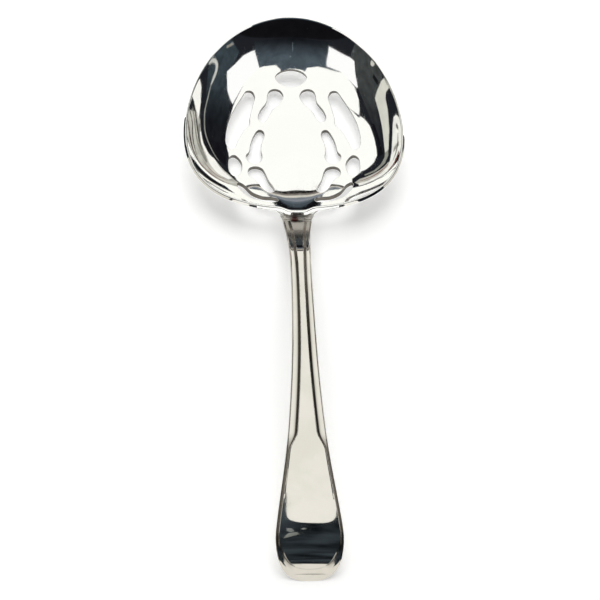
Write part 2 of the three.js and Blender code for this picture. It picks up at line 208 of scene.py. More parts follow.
point = add(rule, "ShaderNodeCombineXYZ", [value["x"], value["y_point"], value["z"]])
add(rule, "NodeGroupOutput", [point])
print("rule:", len(FORMULA), "steps")

# %% [markdown]
# The second group finds the direction square to the hollow's surface, by asking the rule for four
# points close by. The sheet's outside, the sides of the openings and the rim all need it, and a
# mirror finish needs it exactly: the light that the eye sees turns by twice any error.

# %% Node group: a point of the hollow and the direction square to it
SMALL = 1e-3
square_group, given = new_group("Hollow square", on_die + size_sockets,
                                [("Point", "NodeSocketVector"), ("Square", "NodeSocketVector")])
SIDESTEPS = {"here": (0, 0), "right": (SMALL, 0), "left": (-SMALL, 0), "front": (0, SMALL),
             "back": (0, -SMALL)}
near = {}
for side, steps in SIDESTEPS.items():
    moved = {name: add(square_group, MATH, [given[name], step], operation="ADD")
             for name, step in zip(("Across", "Along"), steps)}
    near[side] = add(square_group, "GeometryNodeGroup", {**given, **moved}, node_tree=rule)
sideways = add(square_group, VECTOR, [near["right"], near["left"]], operation="SUBTRACT")
lengthways = add(square_group, VECTOR, [near["front"], near["back"]], operation="SUBTRACT")
crossed = add(square_group, VECTOR, [sideways, lengthways], operation="CROSS_PRODUCT")
crossed = add(square_group, VECTOR, [crossed], operation="NORMALIZE")
add(square_group, "NodeGroupOutput", [near["here"], crossed])
print("square group:", len(square_group.nodes), "nodes")

# %% [markdown]
# The press is the tree that goes on the blank. The blank carries its places as attributes: where
# on the die a point goes, how deep it lies in the metal, and on the rim how far out and up
# it stands. The tree ends in Realize Instances and Set Material, so the result is a plain mesh.

# %% The press
PLACE_NUMBERS = ("across", "along", "depth", "out", "up")


def build_press(material):
    """The tree that presses the blank into a bowl of this material."""
    geometry = [("Geometry", "NodeSocketGeometry")]
    tree, given = new_group("Press", geometry + size_sockets, geometry)
    at = {name: add(tree, "GeometryNodeInputNamedAttribute", {"Name": name}, data_type="FLOAT")
          for name in PLACE_NUMBERS}
    sizes = {name: given[name] for name in SIZES}
    call = add(tree, "GeometryNodeGroup", {**sizes, "Across": at["across"], "Along": at["along"]},
               node_tree=square_group).node
    point, square = call.outputs["Point"], call.outputs["Square"]
    below = add(tree, MATH, [at["depth"], -1.0], operation="MULTIPLY")
    inward = add(tree, VECTOR, {0: square, "Scale": below}, operation="SCALE")
    flat = add(tree, VECTOR, [square, (-1.0, -1.0, 0.0)], operation="MULTIPLY")
    away = add(tree, VECTOR, [flat], operation="NORMALIZE")
    outward = add(tree, VECTOR, {0: away, "Scale": at["out"]}, operation="SCALE")
    lift = add(tree, "ShaderNodeCombineXYZ", [0.0, given["Deepest"], at["up"]])
    for part in (inward, outward, lift):
        point = add(tree, VECTOR, [point, part], operation="ADD")
    metres = add(tree, VECTOR, {0: point, "Scale": MM}, operation="SCALE")
    stored = add(tree, "GeometryNodeStoreNamedAttribute",
                 {"Geometry": given["Geometry"], "Name": "square", "Value": square},
                 data_type="FLOAT_VECTOR", domain="POINT")
    placed = add(tree, "GeometryNodeSetPosition", {"Geometry": stored, "Position": metres})
    real = add(tree, "GeometryNodeRealizeInstances", [placed])
    done = add(tree, "GeometryNodeSetMaterial", {"Geometry": real, "Material": material})
    add(tree, "NodeGroupOutput", [done])
    return tree


silver = bpy.data.materials.new("polished_silver")
press = build_press(silver)
print("press:", len(press.nodes), "nodes")

# %% [markdown]
# ## The openings
# Thirteen openings are pierced in the bowl: a lens near its tip and six on each side, which
# mirror each other. Each outline is a smooth closed curve through a few points, given from the
# deepest point of the bowl.

# %% Outlines of the openings
OPENINGS = [
    [(6.6, 24.6), (4.3, 24.0), (3.2, 21.7), (4.9, 18.3), (7.6, 15.3), (9.3, 11.7),
     (11.2, 9.7), (12.8, 11.3), (12.0, 14.9), (9.5, 19.1), (9.1, 22.0), (8.4, 23.7)],
    [(12.9, 5.9), (11.4, 5.6), (10.8, 3.5), (11.8, -0.1), (12.2, -3.7), (11.8, -6.9),
     (12.9, -9.3), (14.9, -10.0), (17.1, -8.7), (17.7, -6.4), (16.5, -4.4), (16.0, -1.3), (14.8, 2.8)],
    [(14.5, -11.5), (12.2, -12.2), (11.0, -14.6), (10.0, -18.6), (8.3, -23.0), (7.8, -25.6),
     (9.4, -26.5), (11.5, -24.5), (13.3, -20.7), (14.9, -17.9), (16.8, -15.9), (17.1, -13.7), (16.2, -12.1)],
    [(17.2, 22.8), (15.3, 23.0), (14.1, 21.1), (14.9, 17.1), (16.1, 11.5), (16.3, 8.2),
     (18.5, 5.4), (20.7, 0.6), (22.1, -3.0), (23.6, -4.0), (25.1, -1.9), (25.1, 3.1),
     (23.8, 9.2), (21.3, 15.4), (18.8, 20.2)],
    [(22.4, -6.7), (20.9, -7.5), (19.5, -10.2), (19.6, -13.4), (20.8, -16.3), (22.5, -17.1),
     (24.0, -15.1), (24.4, -11.5), (24.0, -8.2)],
    [(20.8, -20.5), (19.2, -21.4), (16.1, -26.3), (12.4, -29.0), (8.1, -29.8), (6.8, -30.9),
     (7.0, -32.4), (8.9, -32.8), (12.8, -32.2), (16.8, -30.1), (19.6, -26.3), (21.3, -22.1)],
]
LENS = {"reach": 6.0, "towards tip": 3.2, "towards heel": 3.7, "at": 29.6, "pointed": 0.3}
print("outlines:", len(OPENINGS), "on each side and the lens, with", sum(map(len, OPENINGS)), "points")

# %% [markdown]
# A piercing saw leaves smooth curves, so the outlines bend through their points without a corner.
# Then their points are spread evenly, because the triangles beside them should be even too.

# %% Smooth and even outlines
EDGE_SPACING = 0.33
FINE_LENS = 480


def smooth_loop(corners, fine=24):
    """A closed curve through the corners: a centripetal Catmull-Rom spline."""
    loop = []
    count = len(corners)
    for i in range(count):
        p0, p1, p2, p3 = (np.array(corners[(i + k) % count]) for k in (-1, 0, 1, 2))
        d0, d1, d2 = (math.sqrt(np.linalg.norm(b - a)) for a, b in ((p0, p1), (p1, p2), (p2, p3)))
        t1 = ((p1 - p0) / d0 - (p2 - p0) / (d0 + d1) + (p2 - p1) / d1) * d1
        t2 = ((p2 - p1) / d1 - (p3 - p1) / (d1 + d2) + (p3 - p2) / d2) * d1
        u = (np.arange(fine) / fine)[:, None]
        loop.append((2 * u**3 - 3 * u**2 + 1) * p1 + (u**3 - 2 * u**2 + u) * t1
                    + (3 * u**2 - 2 * u**3) * p2 + (u**3 - u**2) * t2)
    return np.vstack(loop)


def evenly(loop, spacing):
    """The same closed curve with points evenly spaced along it, turning left."""
    closed = np.vstack([loop, loop[:1]])
    steps = np.linalg.norm(np.diff(closed, axis=0), axis=1)
    length = np.concatenate([[0], np.cumsum(steps)])
    count = max(12, round(length[-1] / spacing))
    at = np.arange(count) * length[-1] / count
    even = np.stack([np.interp(at, length, closed[:, k]) for k in (0, 1)], axis=1)
    after = np.roll(even, -1, axis=0)
    area = 0.5 * np.sum(even[:, 0] * after[:, 1] - after[:, 0] * even[:, 1])
    return even if area > 0 else even[::-1]


turn = np.linspace(0, 2 * np.pi, FINE_LENS, endpoint=False)
bulge = np.where(turn < np.pi, LENS["towards tip"], LENS["towards heel"])
bulge = bulge * np.sin(turn) * np.abs(np.sin(turn)) ** LENS["pointed"]
lens = np.stack([LENS["reach"] * np.cos(turn), LENS["at"] + bulge], axis=1)
outlines = [evenly(lens, EDGE_SPACING)]
for corners in OPENINGS:
    for side in (1, -1):
        outlines.append(evenly(smooth_loop([(side * x, y) for x, y in corners]), EDGE_SPACING))
print("openings:", len(outlines))

# %% [markdown]
# ## The pierced blank
# The blank is a real sheet: a top face, a bottom face, and between them the sides of the openings
# and the rim. Both faces use one triangulation of the pierced outline. The edges of a polished
# piece are never sharp, because the buffing wheel rounds them, so the sides of each opening
# start and end in a small quarter round, and so do the two corners of the rim.

# %% Places on the blank
FINE_RIM = 20001


def rim_outline(t):
    """Inner edge of the rim from the deepest point, at angle t from the tip."""
    s = SIZES
    fullness = (np.sin(t) + s["Squareness"] * np.sin(3 * t)) / (1 - s["Squareness"])
    x = (s["Bowl width"] / 2 - s["Rim inset"]) * fullness
    y = s["Middle"] - s["Deepest"] + (s["Bowl length"] / 2 - s["Rim inset"]) * np.cos(t)
    return x, y - s["Heel fullness"] * np.sin(t) ** 2


def wall_curve(cosine):
    """Power of the wall's rise in this direction, where 1 is towards the tip."""
    s = SIZES
    tip = (s["Curve at tip"] - s["Curve at sides"]) * np.exp((cosine - 1) / s["Tip spread"])
    heel = (s["Curve at heel"] - s["Curve at sides"]) * np.exp((-cosine - 1) / s["Heel spread"])
    return s["Curve at sides"] + tip + heel


fine_t = np.linspace(0, np.pi, FINE_RIM)
fine_aim = np.arctan2(*rim_outline(fine_t))


def on_blank(plan):
    """Across and along on the blank, from millimetres in plan from the deepest point."""
    aim = np.arctan2(np.abs(plan[:, 0]), plan[:, 1])
    t = np.interp(aim, fine_aim, fine_t)
    x, y = rim_outline(t)
    share = np.hypot(plan[:, 0], plan[:, 1]) / np.hypot(x, y)
    return np.stack([share * np.sin(t) * np.sign(plan[:, 0]), share * np.cos(t)], axis=1)


def sideways_of(loop):
    """Unit vectors square to a closed loop in the plan, to its right."""
    along = np.roll(loop, -1, axis=0) - np.roll(loop, 1, axis=0)
    along /= np.linalg.norm(along, axis=1)[:, None]
    return np.stack([along[:, 1], -along[:, 0]], axis=1)


print("the blank's place under the tip's end:", on_blank(np.array([[0.0, 50.0]])).round(3))

# %% [markdown]
# One triangulation serves both faces of the sheet. Its points lie on the outlines and on rings
# round the deepest point, as even as the teeth of a chasing punch would leave them, because long
# thin triangles would show in a mirror finish. The rim's points stand closer at the heel, where
# the rim runs out into its small point.

# %% Triangulate the pierced face
SHEET = SIZES["Sheet"]
EDGE_ROUND = 0.2
TOP_SHARE = 0.985
RIM_POINTS, RIM_CROWDING = 440, 0.35
FACE_RINGS, FACE_SPACING = 62, 0.68
MEAN_REACH = 41
CLEARANCE = 0.3
INSIDE_ONLY = 1
around = 2 * np.pi * np.arange(RIM_POINTS) / RIM_POINTS
around = around + RIM_CROWDING * np.sin(around)
rim_loop = TOP_SHARE * np.stack(rim_outline(around), axis=1)[::-1]
loops = [rim_loop] + [loop + EDGE_ROUND * sideways_of(loop) for loop in outlines]
edge_points = np.vstack(loops)
inner = [np.zeros((1, 2))]
for k in range(1, FACE_RINGS):
    share = TOP_SHARE * k / FACE_RINGS
    count = max(6, round(2 * np.pi * share * MEAN_REACH / FACE_SPACING))
    t = 2 * np.pi * (np.arange(count) + 0.5 * (k % 2)) / count
    inner.append(share * np.stack(rim_outline(t), axis=1))
inner = np.vstack(inner)
nearest = kdtree.KDTree(len(edge_points))
for i, (x, y) in enumerate(edge_points):
    nearest.insert((x, y, 0), i)
nearest.balance()
inner = inner[[nearest.find((x, y, 0))[2] > CLEARANCE for x, y in inner]]
flat_points = np.vstack([edge_points, inner])
starts = np.concatenate([[0], np.cumsum([len(loop) for loop in loops])])
rings = [list(range(low, high)) for low, high in zip(starts, starts[1:])]
edges = [(ring[j], ring[(j + 1) % len(ring)]) for ring in rings for j in range(len(ring))]
_, _, triangles, sources, _, faces_of = delaunay_2d_cdt(
    [Vector(p) for p in flat_points.tolist()], edges, rings, INSIDE_ONLY, 1e-7, True)
source = [s[0] if s else -1 for s in sources]
face = np.array([[source[c] for c in tri] for tri, f in zip(triangles, faces_of) if list(f) == [0]])
print("face:", len(face), "triangles,", len(flat_points), "points; new points:", source.count(-1))

# %% [markdown]
# The blank's points are kept as five numbers each: across and along on the die, depth in the
# metal, and out and up from the rim. A ring of points is blended between places on the blank, and
# rings are joined by quads. For the finish, each point also notes how its normal leans: how much
# of it is square to the sheet, and how much points into the opening.

# %% Points and quads of the blank
parts = {name: [] for name in (*PLACE_NUMBERS, "square_lean", "side_lean")}


def add_ring(across_along, depth, out=0.0, up=0.0, square_lean=0.0, side_lean=1.0):
    """Add a ring of points, or a face of them, and return their indices."""
    first = sum(len(numbers) for numbers in parts["across"])
    numbers_of = {"across": across_along[:, 0], "along": across_along[:, 1], "depth": depth,
                  "out": out, "up": up, "square_lean": square_lean, "side_lean": side_lean}
    for name, numbers in numbers_of.items():
        parts[name].append(numbers + np.zeros(len(across_along)))
    return list(range(first, first + len(across_along)))


def join_rings(upper, lower, flip=False):
    """Quads between two rings. Unflipped, they face the inside of a loop that turns left."""
    for j in range(len(upper)):
        k = (j + 1) % len(upper)
        quad = [upper[j], upper[k], lower[k], lower[j]]
        polygons.append(quad[::-1] if flip else quad)


here = on_blank(flat_points)
count = len(flat_points)
add_ring(here, 0.0, square_lean=1.0, side_lean=0.0)
add_ring(here, SHEET, square_lean=-1.0, side_lean=0.0)
polygons = face.tolist() + (face[:, ::-1] + count).tolist()
print("two faces:", len(polygons), "triangles")

# %% [markdown]
# The side of an opening is a stack of rings, from the top face over a quarter round to the bottom
# face's quarter round. Its middle is one tall quad, as straight as the saw cut it.

# %% Sides of the openings
ROUND_RINGS = 4
side_rings = []
for ring, outline in zip(rings[1:], outlines):
    aside = sideways_of(outline)
    top, bottom = [], []
    for k in range(1, ROUND_RINGS + 1):
        angle = math.pi / 2 * k / ROUND_RINGS
        place = on_blank(outline + EDGE_ROUND * (1 - math.sin(angle)) * aside)
        drop = EDGE_ROUND * (1 - math.cos(angle))
        top.append(add_ring(place, drop, square_lean=math.cos(angle), side_lean=math.sin(angle)))
        bottom.append(add_ring(place, SHEET - drop, square_lean=-math.cos(angle),
                               side_lean=math.sin(angle)))
    stack = [ring] + top + bottom[::-1] + [[i + count for i in ring]]
    for upper, lower in zip(stack, stack[1:]):
        join_rings(upper, lower)
    side_rings.append(stack)
print("sides of the openings:", len(side_rings), "with", len(side_rings[0]), "rings each")

# %% [markdown]
# The rim is the sheet's own edge, dressed with a file until it stands square to the wall, and then
# burnished, which rounds its two corners. So the rim is a stack of rings from the top face, over
# the edge, to the bottom face. The steeper the wall, the farther the sheet's thickness carries the
# lower corner out.

# %% The rim
RIM_ROUND = 0.3
CARRY_OUT = 0.35
ROUND_SHARES = (0.2, 0.4, 0.6, 0.8, 1.0)
aim = here[rings[0]] / TOP_SHARE
across_rim = np.hypot(*rim_loop.T) / TOP_SHARE
run = CARRY_OUT * wall_curve(aim[:, 1])
drop = np.sqrt(SHEET**2 - run**2)
edge_share = 1 + (SIZES["Rim inset"] - run) / across_rim


def rim_ring(inset, depth, down):
    """A ring this far in from the edge, this deep, and this far down the rim's face, in mm."""
    share = edge_share - inset / across_rim
    return add_ring(aim * share[:, None], depth, out=down / SHEET * run, up=-down / SHEET * drop)


rim_stack = [rings[0]]
for u in ROUND_SHARES:
    rim_stack.append(rim_ring((1 - u) ** 2 * RIM_ROUND, 0.0, RIM_ROUND * u * u))
for down in (0.5, 0.8, 1.1, SHEET - RIM_ROUND):
    rim_stack.append(rim_ring(0.0, 0.0, down))
for u in ROUND_SHARES:
    stay = (1 - u) ** 2
    rim_stack.append(rim_ring(u * u * RIM_ROUND, SHEET * (1 - stay), stay * (SHEET - RIM_ROUND)))
rim_stack.append([i + count for i in rings[0]])
for upper, lower in zip(rim_stack, rim_stack[1:]):
    join_rings(upper, lower, flip=True)
print("rim:", len(rim_stack), "rings of", len(rings[0]), "points")

# %% [markdown]
# The blank's mesh lies flat, with the openings roughly in place. It only carries the numbers,
# because the press gives every point its real place.

# %% The flat mesh
blank = {name: np.concatenate(numbers) for name, numbers in parts.items()}
flat_place = np.stack([MEAN_REACH * blank["across"],
                       MEAN_REACH * blank["along"] + SIZES["Deepest"], -blank["depth"]], axis=1)
mesh = bpy.data.meshes.new("blank")
mesh.from_pydata((flat_place * MM).tolist(), [], polygons)
for name in PLACE_NUMBERS:
    mesh.attributes.new(name, "FLOAT", "POINT").data.foreach_set("value", blank[name].astype(np.float32))
bowl = bpy.data.objects.new("pierced_bowl", mesh)
bpy.context.scene.collection.objects.link(bowl)
print("blank:", len(mesh.vertices), "points,", len(mesh.polygons), "faces")

# %% [markdown]
# ## Pressing it
# The press is set on the blank as a modifier, with its sizes set through the sockets'
# identifiers, and its result is taken out as a plain mesh. The normals are then worked out from
# the rule and set as custom normals, so that the reflections run as smoothly as on a real mirror
# finish and don't break up at the triangles' edges.

# %% Press the blank and read the result
modifier = bowl.modifiers.new("press", "NODES")
modifier.node_group = press
identifiers = {item.name: item.identifier for item in press.interface.items_tree if item.in_out == "INPUT"}
for name, size in SIZES.items():
    modifier[identifiers[name]] = size
graph = bpy.context.evaluated_depsgraph_get()
pressed = bpy.data.meshes.new_from_object(bowl.evaluated_get(graph))
bowl.modifiers.remove(modifier)
bowl.data = pressed


def read_vectors(collection, field):
    """One field of a mesh's points as rows of three numbers."""
    numbers = np.zeros(len(collection) * 3, np.float32)
    collection.foreach_get(field, numbers)
    return numbers.reshape(-1, 3).astype(float)


place = read_vectors(pressed.vertices, "co")
square = read_vectors(pressed.attributes["square"].data, "vector")
print("pressed bowl, mm:", (place.min(0) / MM).round(2), (place.max(0) / MM).round(2))

# %% [markdown]
# Each point's normal follows from what it lies on. On the faces it is the direction square to the
# sheet, on the sides of the openings it leans towards the opening, and on the rim it is the cross
# product of the two directions in its stack of rings. A last mark tells which points a saw cut.

# %% Normals of the bowl
def unit(vectors):
    """The vectors at length 1."""
    length = np.linalg.norm(vectors, axis=-1, keepdims=True)
    return vectors / np.maximum(length, 1e-12)


def slope_along(grid, axis, closed):
    """Derivative along one axis of a grid of points, weighted for uneven steps."""
    grid = np.moveaxis(grid, axis, 0)
    forward = np.roll(grid, -1, axis=0) - grid
    step = np.linalg.norm(forward, axis=-1, keepdims=True) + 1e-12
    back_step = np.roll(step, 1, axis=0)
    slope = (forward / step * back_step + np.roll(forward / step, 1, axis=0) * step) / (step + back_step)
    if not closed:
        slope[0] = forward[0] / step[0]
        slope[-1] = np.roll(forward / step, 1, axis=0)[-1]
    return np.moveaxis(slope, 0, axis)


normals = blank["square_lean"][:, None] * square
for stack in side_rings:
    for ring in stack[1:-1]:
        loop = place[ring]
        along = unit(np.roll(loop, -1, axis=0) - np.roll(loop, 1, axis=0))
        inward = unit(np.cross(square[ring], along))
        normals[ring] += blank["side_lean"][ring, None] * inward
grid = place[np.array(rim_stack)]
rim_normals = unit(np.cross(slope_along(grid, 0, False), slope_along(grid, 1, True)))
for ring, row in list(zip(rim_stack, rim_normals))[1:-1]:
    normals[ring] = row
normals = unit(normals)


def finish_mesh(mesh, normals):
    """Shade smooth with these vertex normals, and drop attributes that only the making needed."""
    for name in [a.name for a in mesh.attributes if not a.is_internal]:
        if mesh.attributes[name].domain == "POINT" and name != "position":
            mesh.attributes.remove(mesh.attributes[name])
    mesh.polygons.foreach_set("use_smooth", [True] * len(mesh.polygons))
    mesh.normals_split_custom_set_from_vertices(normals.tolist())
    mesh.update()


def mark(mesh, name, numbers):
    """Keep one number per point on the mesh, for its material."""
    mesh.attributes.new(name, "FLOAT", "POINT").data.foreach_set("value", np.array(numbers, np.float32))


finish_mesh(pressed, normals)
cut = np.zeros(len(place))
for stack in side_rings:
    for ring in stack[1:-1]:
        cut[ring] = blank["side_lean"][ring]
mark(pressed, "cut", cut)
print("bowl:", len(pressed.polygons), "faces,", int((cut > 0.9).sum()), "points on sawn sides")

# %% [markdown]
# ## The handle
# The handle is one forging. It leaves the bowl as a narrow stem, rises into a low arch, and
# spreads at two shoulders into a plain end that is turned down to the table. A raised panel runs
# along its middle with a lower band on each side. A cross-section swept along a curved line is
# the natural way to make it: the section's numbers change slowly along the line. The lines
# through the given sizes are blurred a little, because a file and a buff leave no kinks.

# %% Sizes of the handle, in millimetres
LENGTH = 229.0
STEM_TOP = 9.4
STEM_FACE = 22.0
HANDLE_FACE = 21.8
HEEL_WIDTH, NECK_WIDTH, END_WIDTH = 10.4, 7.4, 22.3
NECK_THICK, END_THICK = 3.2, 2.3
ARCH = 20.9
BAND_AT_NECK, BAND_AT_SHOULDERS = 2.55, 3.2
PANEL_STEP, STEP_RUN, END_STEP_RUN, TIP_STEP_RUN = 0.5, 0.85, 0.3, 1.2
EDGE_RUN, EDGE_DROP, UNDER_ROUND = 0.75, 0.7, 0.6
CORNER_SOFT = 0.16
CROWN_RADIUS = 200.0
END_ROUND, END_POWER = 14.0, 2.5
SHOULDERS, SHOULDERS_LENGTH = 95.5, 7.0
HEEL_FLARE, HEEL_DEPTH, HEEL_THIN = 5.5, 4.4, 1.6
print("handle:", LENGTH, "mm with the bowl,", END_WIDTH, "mm wide at the end")

# %% [markdown]
# The handle's height and width are given at a few places and run smoothly between them. The
# blur is a bell-shaped average along the line, which takes out the last small kinks.

# %% Smooth lines
def mix(a, b, share):
    """From a to b by this share."""
    return a + (b - a) * share


def ease(x, low, high):
    """A smooth step from 0 at low to 1 at high."""
    u = np.clip((x - low) / (high - low), 0, 1)
    return u * u * (3 - 2 * u)


def through(keys, at, blur):
    """A smooth line through (at, value) keys, level at its start, blurred over this distance."""
    keys = np.array(keys, float)
    slope = np.gradient(keys[:, 1], keys[:, 0])
    slope[1:-1] = (keys[2:, 1] - keys[:-2, 1]) / (keys[2:, 0] - keys[:-2, 0])
    slope[0] = 0
    i = np.clip(np.searchsorted(keys[:, 0], at, side="right") - 1, 0, len(keys) - 2)
    span = keys[i + 1, 0] - keys[i, 0]
    u = (at - keys[i, 0]) / span
    line = ((1 + 2 * u) * (1 - u) ** 2 * keys[i, 1] + u * (1 - u) ** 2 * span * slope[i]
            + u * u * (3 - 2 * u) * keys[i + 1, 1] + u * u * (u - 1) * span * slope[i + 1])
    width = int(3 * blur / (at[1] - at[0]))
    weights = np.exp(-0.5 * (np.arange(-width, width + 1) * (at[1] - at[0]) / blur) ** 2)
    before = 2 * line[0] - line[width:0:-1]
    after = 2 * line[-1] - line[-2:-width - 2:-1]
    return np.convolve(np.concatenate([before, line, after]), weights / weights.sum(), "valid")


print("half way up a smooth step:", ease(0.5, 0, 1))

# %% [markdown]
# The section has a slightly crowned panel, a step down to the band, a rounded edge and a flat
# underside. A forging die leaves such a step, and polishing softens both of its corners.

# %% Cross-section of the stem and handle
QUARTER = np.linspace(0, np.pi / 2, 9)
PANEL_POINTS, UNDER_POINTS = 8, 5


def curve_corner(a, corner, b, steps=4):
    """Points of a small curve that rounds the corner between a and b."""
    u = (np.arange(steps + 1) / steps)[:, None]
    return (1 - u) ** 2 * a + 2 * u * (1 - u) * corner + u * u * b


def half_section(panel_inset, step_run, thickness):
    """One side from the panel's edge to the underside, as insets from the outline and depths."""
    foot = panel_inset - step_run
    soft = min(CORNER_SOFT, foot - EDGE_RUN - 0.02)
    steep = np.array([step_run, -PANEL_STEP]) / math.hypot(step_run, PANEL_STEP)
    upper = np.array([panel_inset, 0.0])
    lower = np.array([foot, PANEL_STEP])
    edge_end = PANEL_STEP + EDGE_DROP
    under_start = thickness - UNDER_ROUND
    return np.vstack([
        curve_corner(upper + [CORNER_SOFT, 0], upper, upper - CORNER_SOFT * steep),
        curve_corner(lower + soft * steep, lower, lower - [soft, 0]),
        [[mix(foot - soft, EDGE_RUN, u), PANEL_STEP] for u in (0.33, 0.67)],
        np.stack([EDGE_RUN * (1 - np.sin(QUARTER)), edge_end - EDGE_DROP * np.cos(QUARTER)], axis=1),
        [[0, mix(edge_end, under_start, 0.5)]],
        np.stack([UNDER_ROUND * (1 - np.cos(QUARTER)), under_start + UNDER_ROUND * np.sin(QUARTER)],
                 axis=1),
    ])


def section(half_width, out_x, out_s, panel_inset, step_run, thickness):
    """Ring of a section as x across, s along the metal and n above the top line.

    Insets are measured square to the handle's outline, whose outward direction is
    (out_x, out_s), so that the rounded end closes evenly on itself."""
    half = half_section(panel_inset, step_run, thickness)
    sides = np.stack([half_width - half[:, 0] * out_x, -half[:, 0] * out_s, -half[:, 1]], axis=1)
    across = np.sin(QUARTER)[:-1] * (half_width - panel_inset * out_x)
    panel = np.stack([across, np.full(PANEL_POINTS, -panel_inset * out_s), np.zeros(PANEL_POINTS)], axis=1)
    last = sides[-1]
    across = last[0] * np.linspace(1, 0, UNDER_POINTS + 1)[1:]
    under = np.stack([across, np.full(UNDER_POINTS, last[1]), np.full(UNDER_POINTS, -thickness)], axis=1)
    ring = np.vstack([panel, sides, under])
    crowned = ring[:, 2] > -PANEL_STEP - EDGE_DROP - 0.01
    ring[:, 2] -= crowned * ring[:, 0] ** 2 / (2 * CROWN_RADIUS)
    other = ring[1:-1][::-1] * [-1, 1, 1]
    return np.vstack([ring, other])


stem_section = section(HEEL_WIDTH / 2, 1, 0, BAND_AT_NECK, STEP_RUN, NECK_THICK)
print("points round a section:", len(stem_section))

# %% [markdown]
# Marks on the section say where the handle gets a painted shade, a dark brown: in the groove
# under the panel's step, along the plain end's edge, and along its upper line near the tip. Each
# list starts at the panel's edge and goes outwards, and the rest of the section has none.

# %% Marks on the section
def marked(half, beside=0.0):
    """Marks for a whole section, from those of its right side outwards from the panel's edge."""
    panel = [0.0] * (PANEL_POINTS - 1) + [beside]
    rest = [0.0] * (len(stem_section) // 2 + 1 - len(panel) - len(half))
    ring = np.array(panel + half + rest)
    return np.concatenate([ring, ring[1:-1][::-1]])


# Marks of painted shade: dark brown in the groove, along the end's edge and along its upper line.
GROOVE = marked([0, 0, 0.2, 0.7, 1, 1, 1, 1, 0.9, 0.5, 0.1, 0, 0, 0, 0, 0, 0.2, 0.4, 0.6, 0.8, 1])
EDGE_LINE = marked([0, 0, 0.2, 0.6] + 17 * [1])
UPPER_LINE = marked([1, 1, 1, 0.6, 0.3], beside=0.7)
print("marks round a section:", len(GROOVE))

# %% [markdown]
# Seen from the side, the handle rises from the solder to its arch and falls to the turned-down
# tip. Seen from above, it is narrowest at the neck, and its end closes in a flattened round. Each
# table gives shares of the way along, with shares of the height or of the width.

# %% Lines of the handle
RISE = [(0, 0), (0.045, 0.134), (0.07, 0.255), (0.1, 0.43), (0.135, 0.627), (0.18, 0.784),
        (0.23, 0.89), (0.29, 0.968), (0.36, 1)]
FALL = [(0.44, 0.977), (0.53, 0.912), (0.62, 0.82), (0.71, 0.712), (0.79, 0.611), (0.85, 0.534),
        (0.885, 0.484), (0.915, 0.425), (0.945, 0.327), (0.97, 0.209), (1, 0)]
HEEL_SPREAD = [(0, 1), (0.05, 0.45), (0.114, 0.18)]
END_SPREAD = [(0.244, 0), (0.44, 0.08), (0.58, 0.23), (0.701, 0.45), (0.836, 0.83), (0.897, 0.985),
              (0.926, 1), (1, 1)]
LINE_BLUR, LINE_POINTS = 0.012, 4001
STATION_STEP, NEAR_BY, END_STATIONS = 0.7, 0.3, 48


def top_line(tip_y, tip_z):
    """The middle of the handle's top to tip_y, tip_z: distance run, y, z and direction."""
    u = np.linspace(0, 1, LINE_POINTS)
    y = mix(HANDLE_FACE, tip_y, u)
    keys = [(at, mix(STEM_TOP, ARCH, share)) for at, share in RISE]
    keys += [(at, mix(tip_z, ARCH, share)) for at, share in FALL]
    z = through(keys, u, LINE_BLUR)
    run = np.concatenate([[0], np.cumsum(np.hypot(np.diff(y), np.diff(z)))])
    s = np.linspace(0, run[-1], LINE_POINTS)
    y, z = np.interp(s, run, y), np.interp(s, run, z)
    return s, y, z, unit(np.stack([np.gradient(y), np.gradient(z)], axis=1))


def stations_along(s):
    """Where the sections stand, with the half width there and the outline's angle."""
    keys = [(at, mix(NECK_WIDTH, HEEL_WIDTH, share) / 2) for at, share in HEEL_SPREAD]
    keys += [(at, mix(NECK_WIDTH, END_WIDTH, share) / 2) for at, share in END_SPREAD]
    width = through(keys, s / s[-1], LINE_BLUR)
    end_start = s[-1] - END_ROUND
    stations = []
    for at in np.arange(0, end_start, STATION_STEP):
        spread = (np.interp(at + NEAR_BY, s, width) - np.interp(at - NEAR_BY, s, width)) / (2 * NEAR_BY)
        stations.append((at, np.interp(at, s, width), math.atan2(-spread, 1)))
    widest = np.interp(end_start, s, width)
    for k in range(END_STATIONS + 1):
        angle = math.pi / 2 * k / END_STATIONS
        across = math.cos(angle) ** (2 / END_POWER) if k < END_STATIONS else 0.0
        along = math.sin(angle) ** (2 / END_POWER)
        out = math.atan2(along ** (END_POWER - 1) / END_ROUND, across ** (END_POWER - 1) / widest)
        stations.append((end_start + END_ROUND * along, widest * across, out))
    return stations


print("sections:", len(stations_along(top_line(-LENGTH / 2, 0.0)[0])))

# %% [markdown]
# The sections are set along that line. The tip is then moved, in a few rounds, until the spoon
# has its full length and the tip just touches the table. The marks of painted shade start a little
# way from the bowl, and end just before the tip.

# %% Rings of the handle
SHADE_START, TIP_LINE_START, SHADE_END = (7, 10), (2, 7), (11, 13)
FITTING_ROUNDS = 5


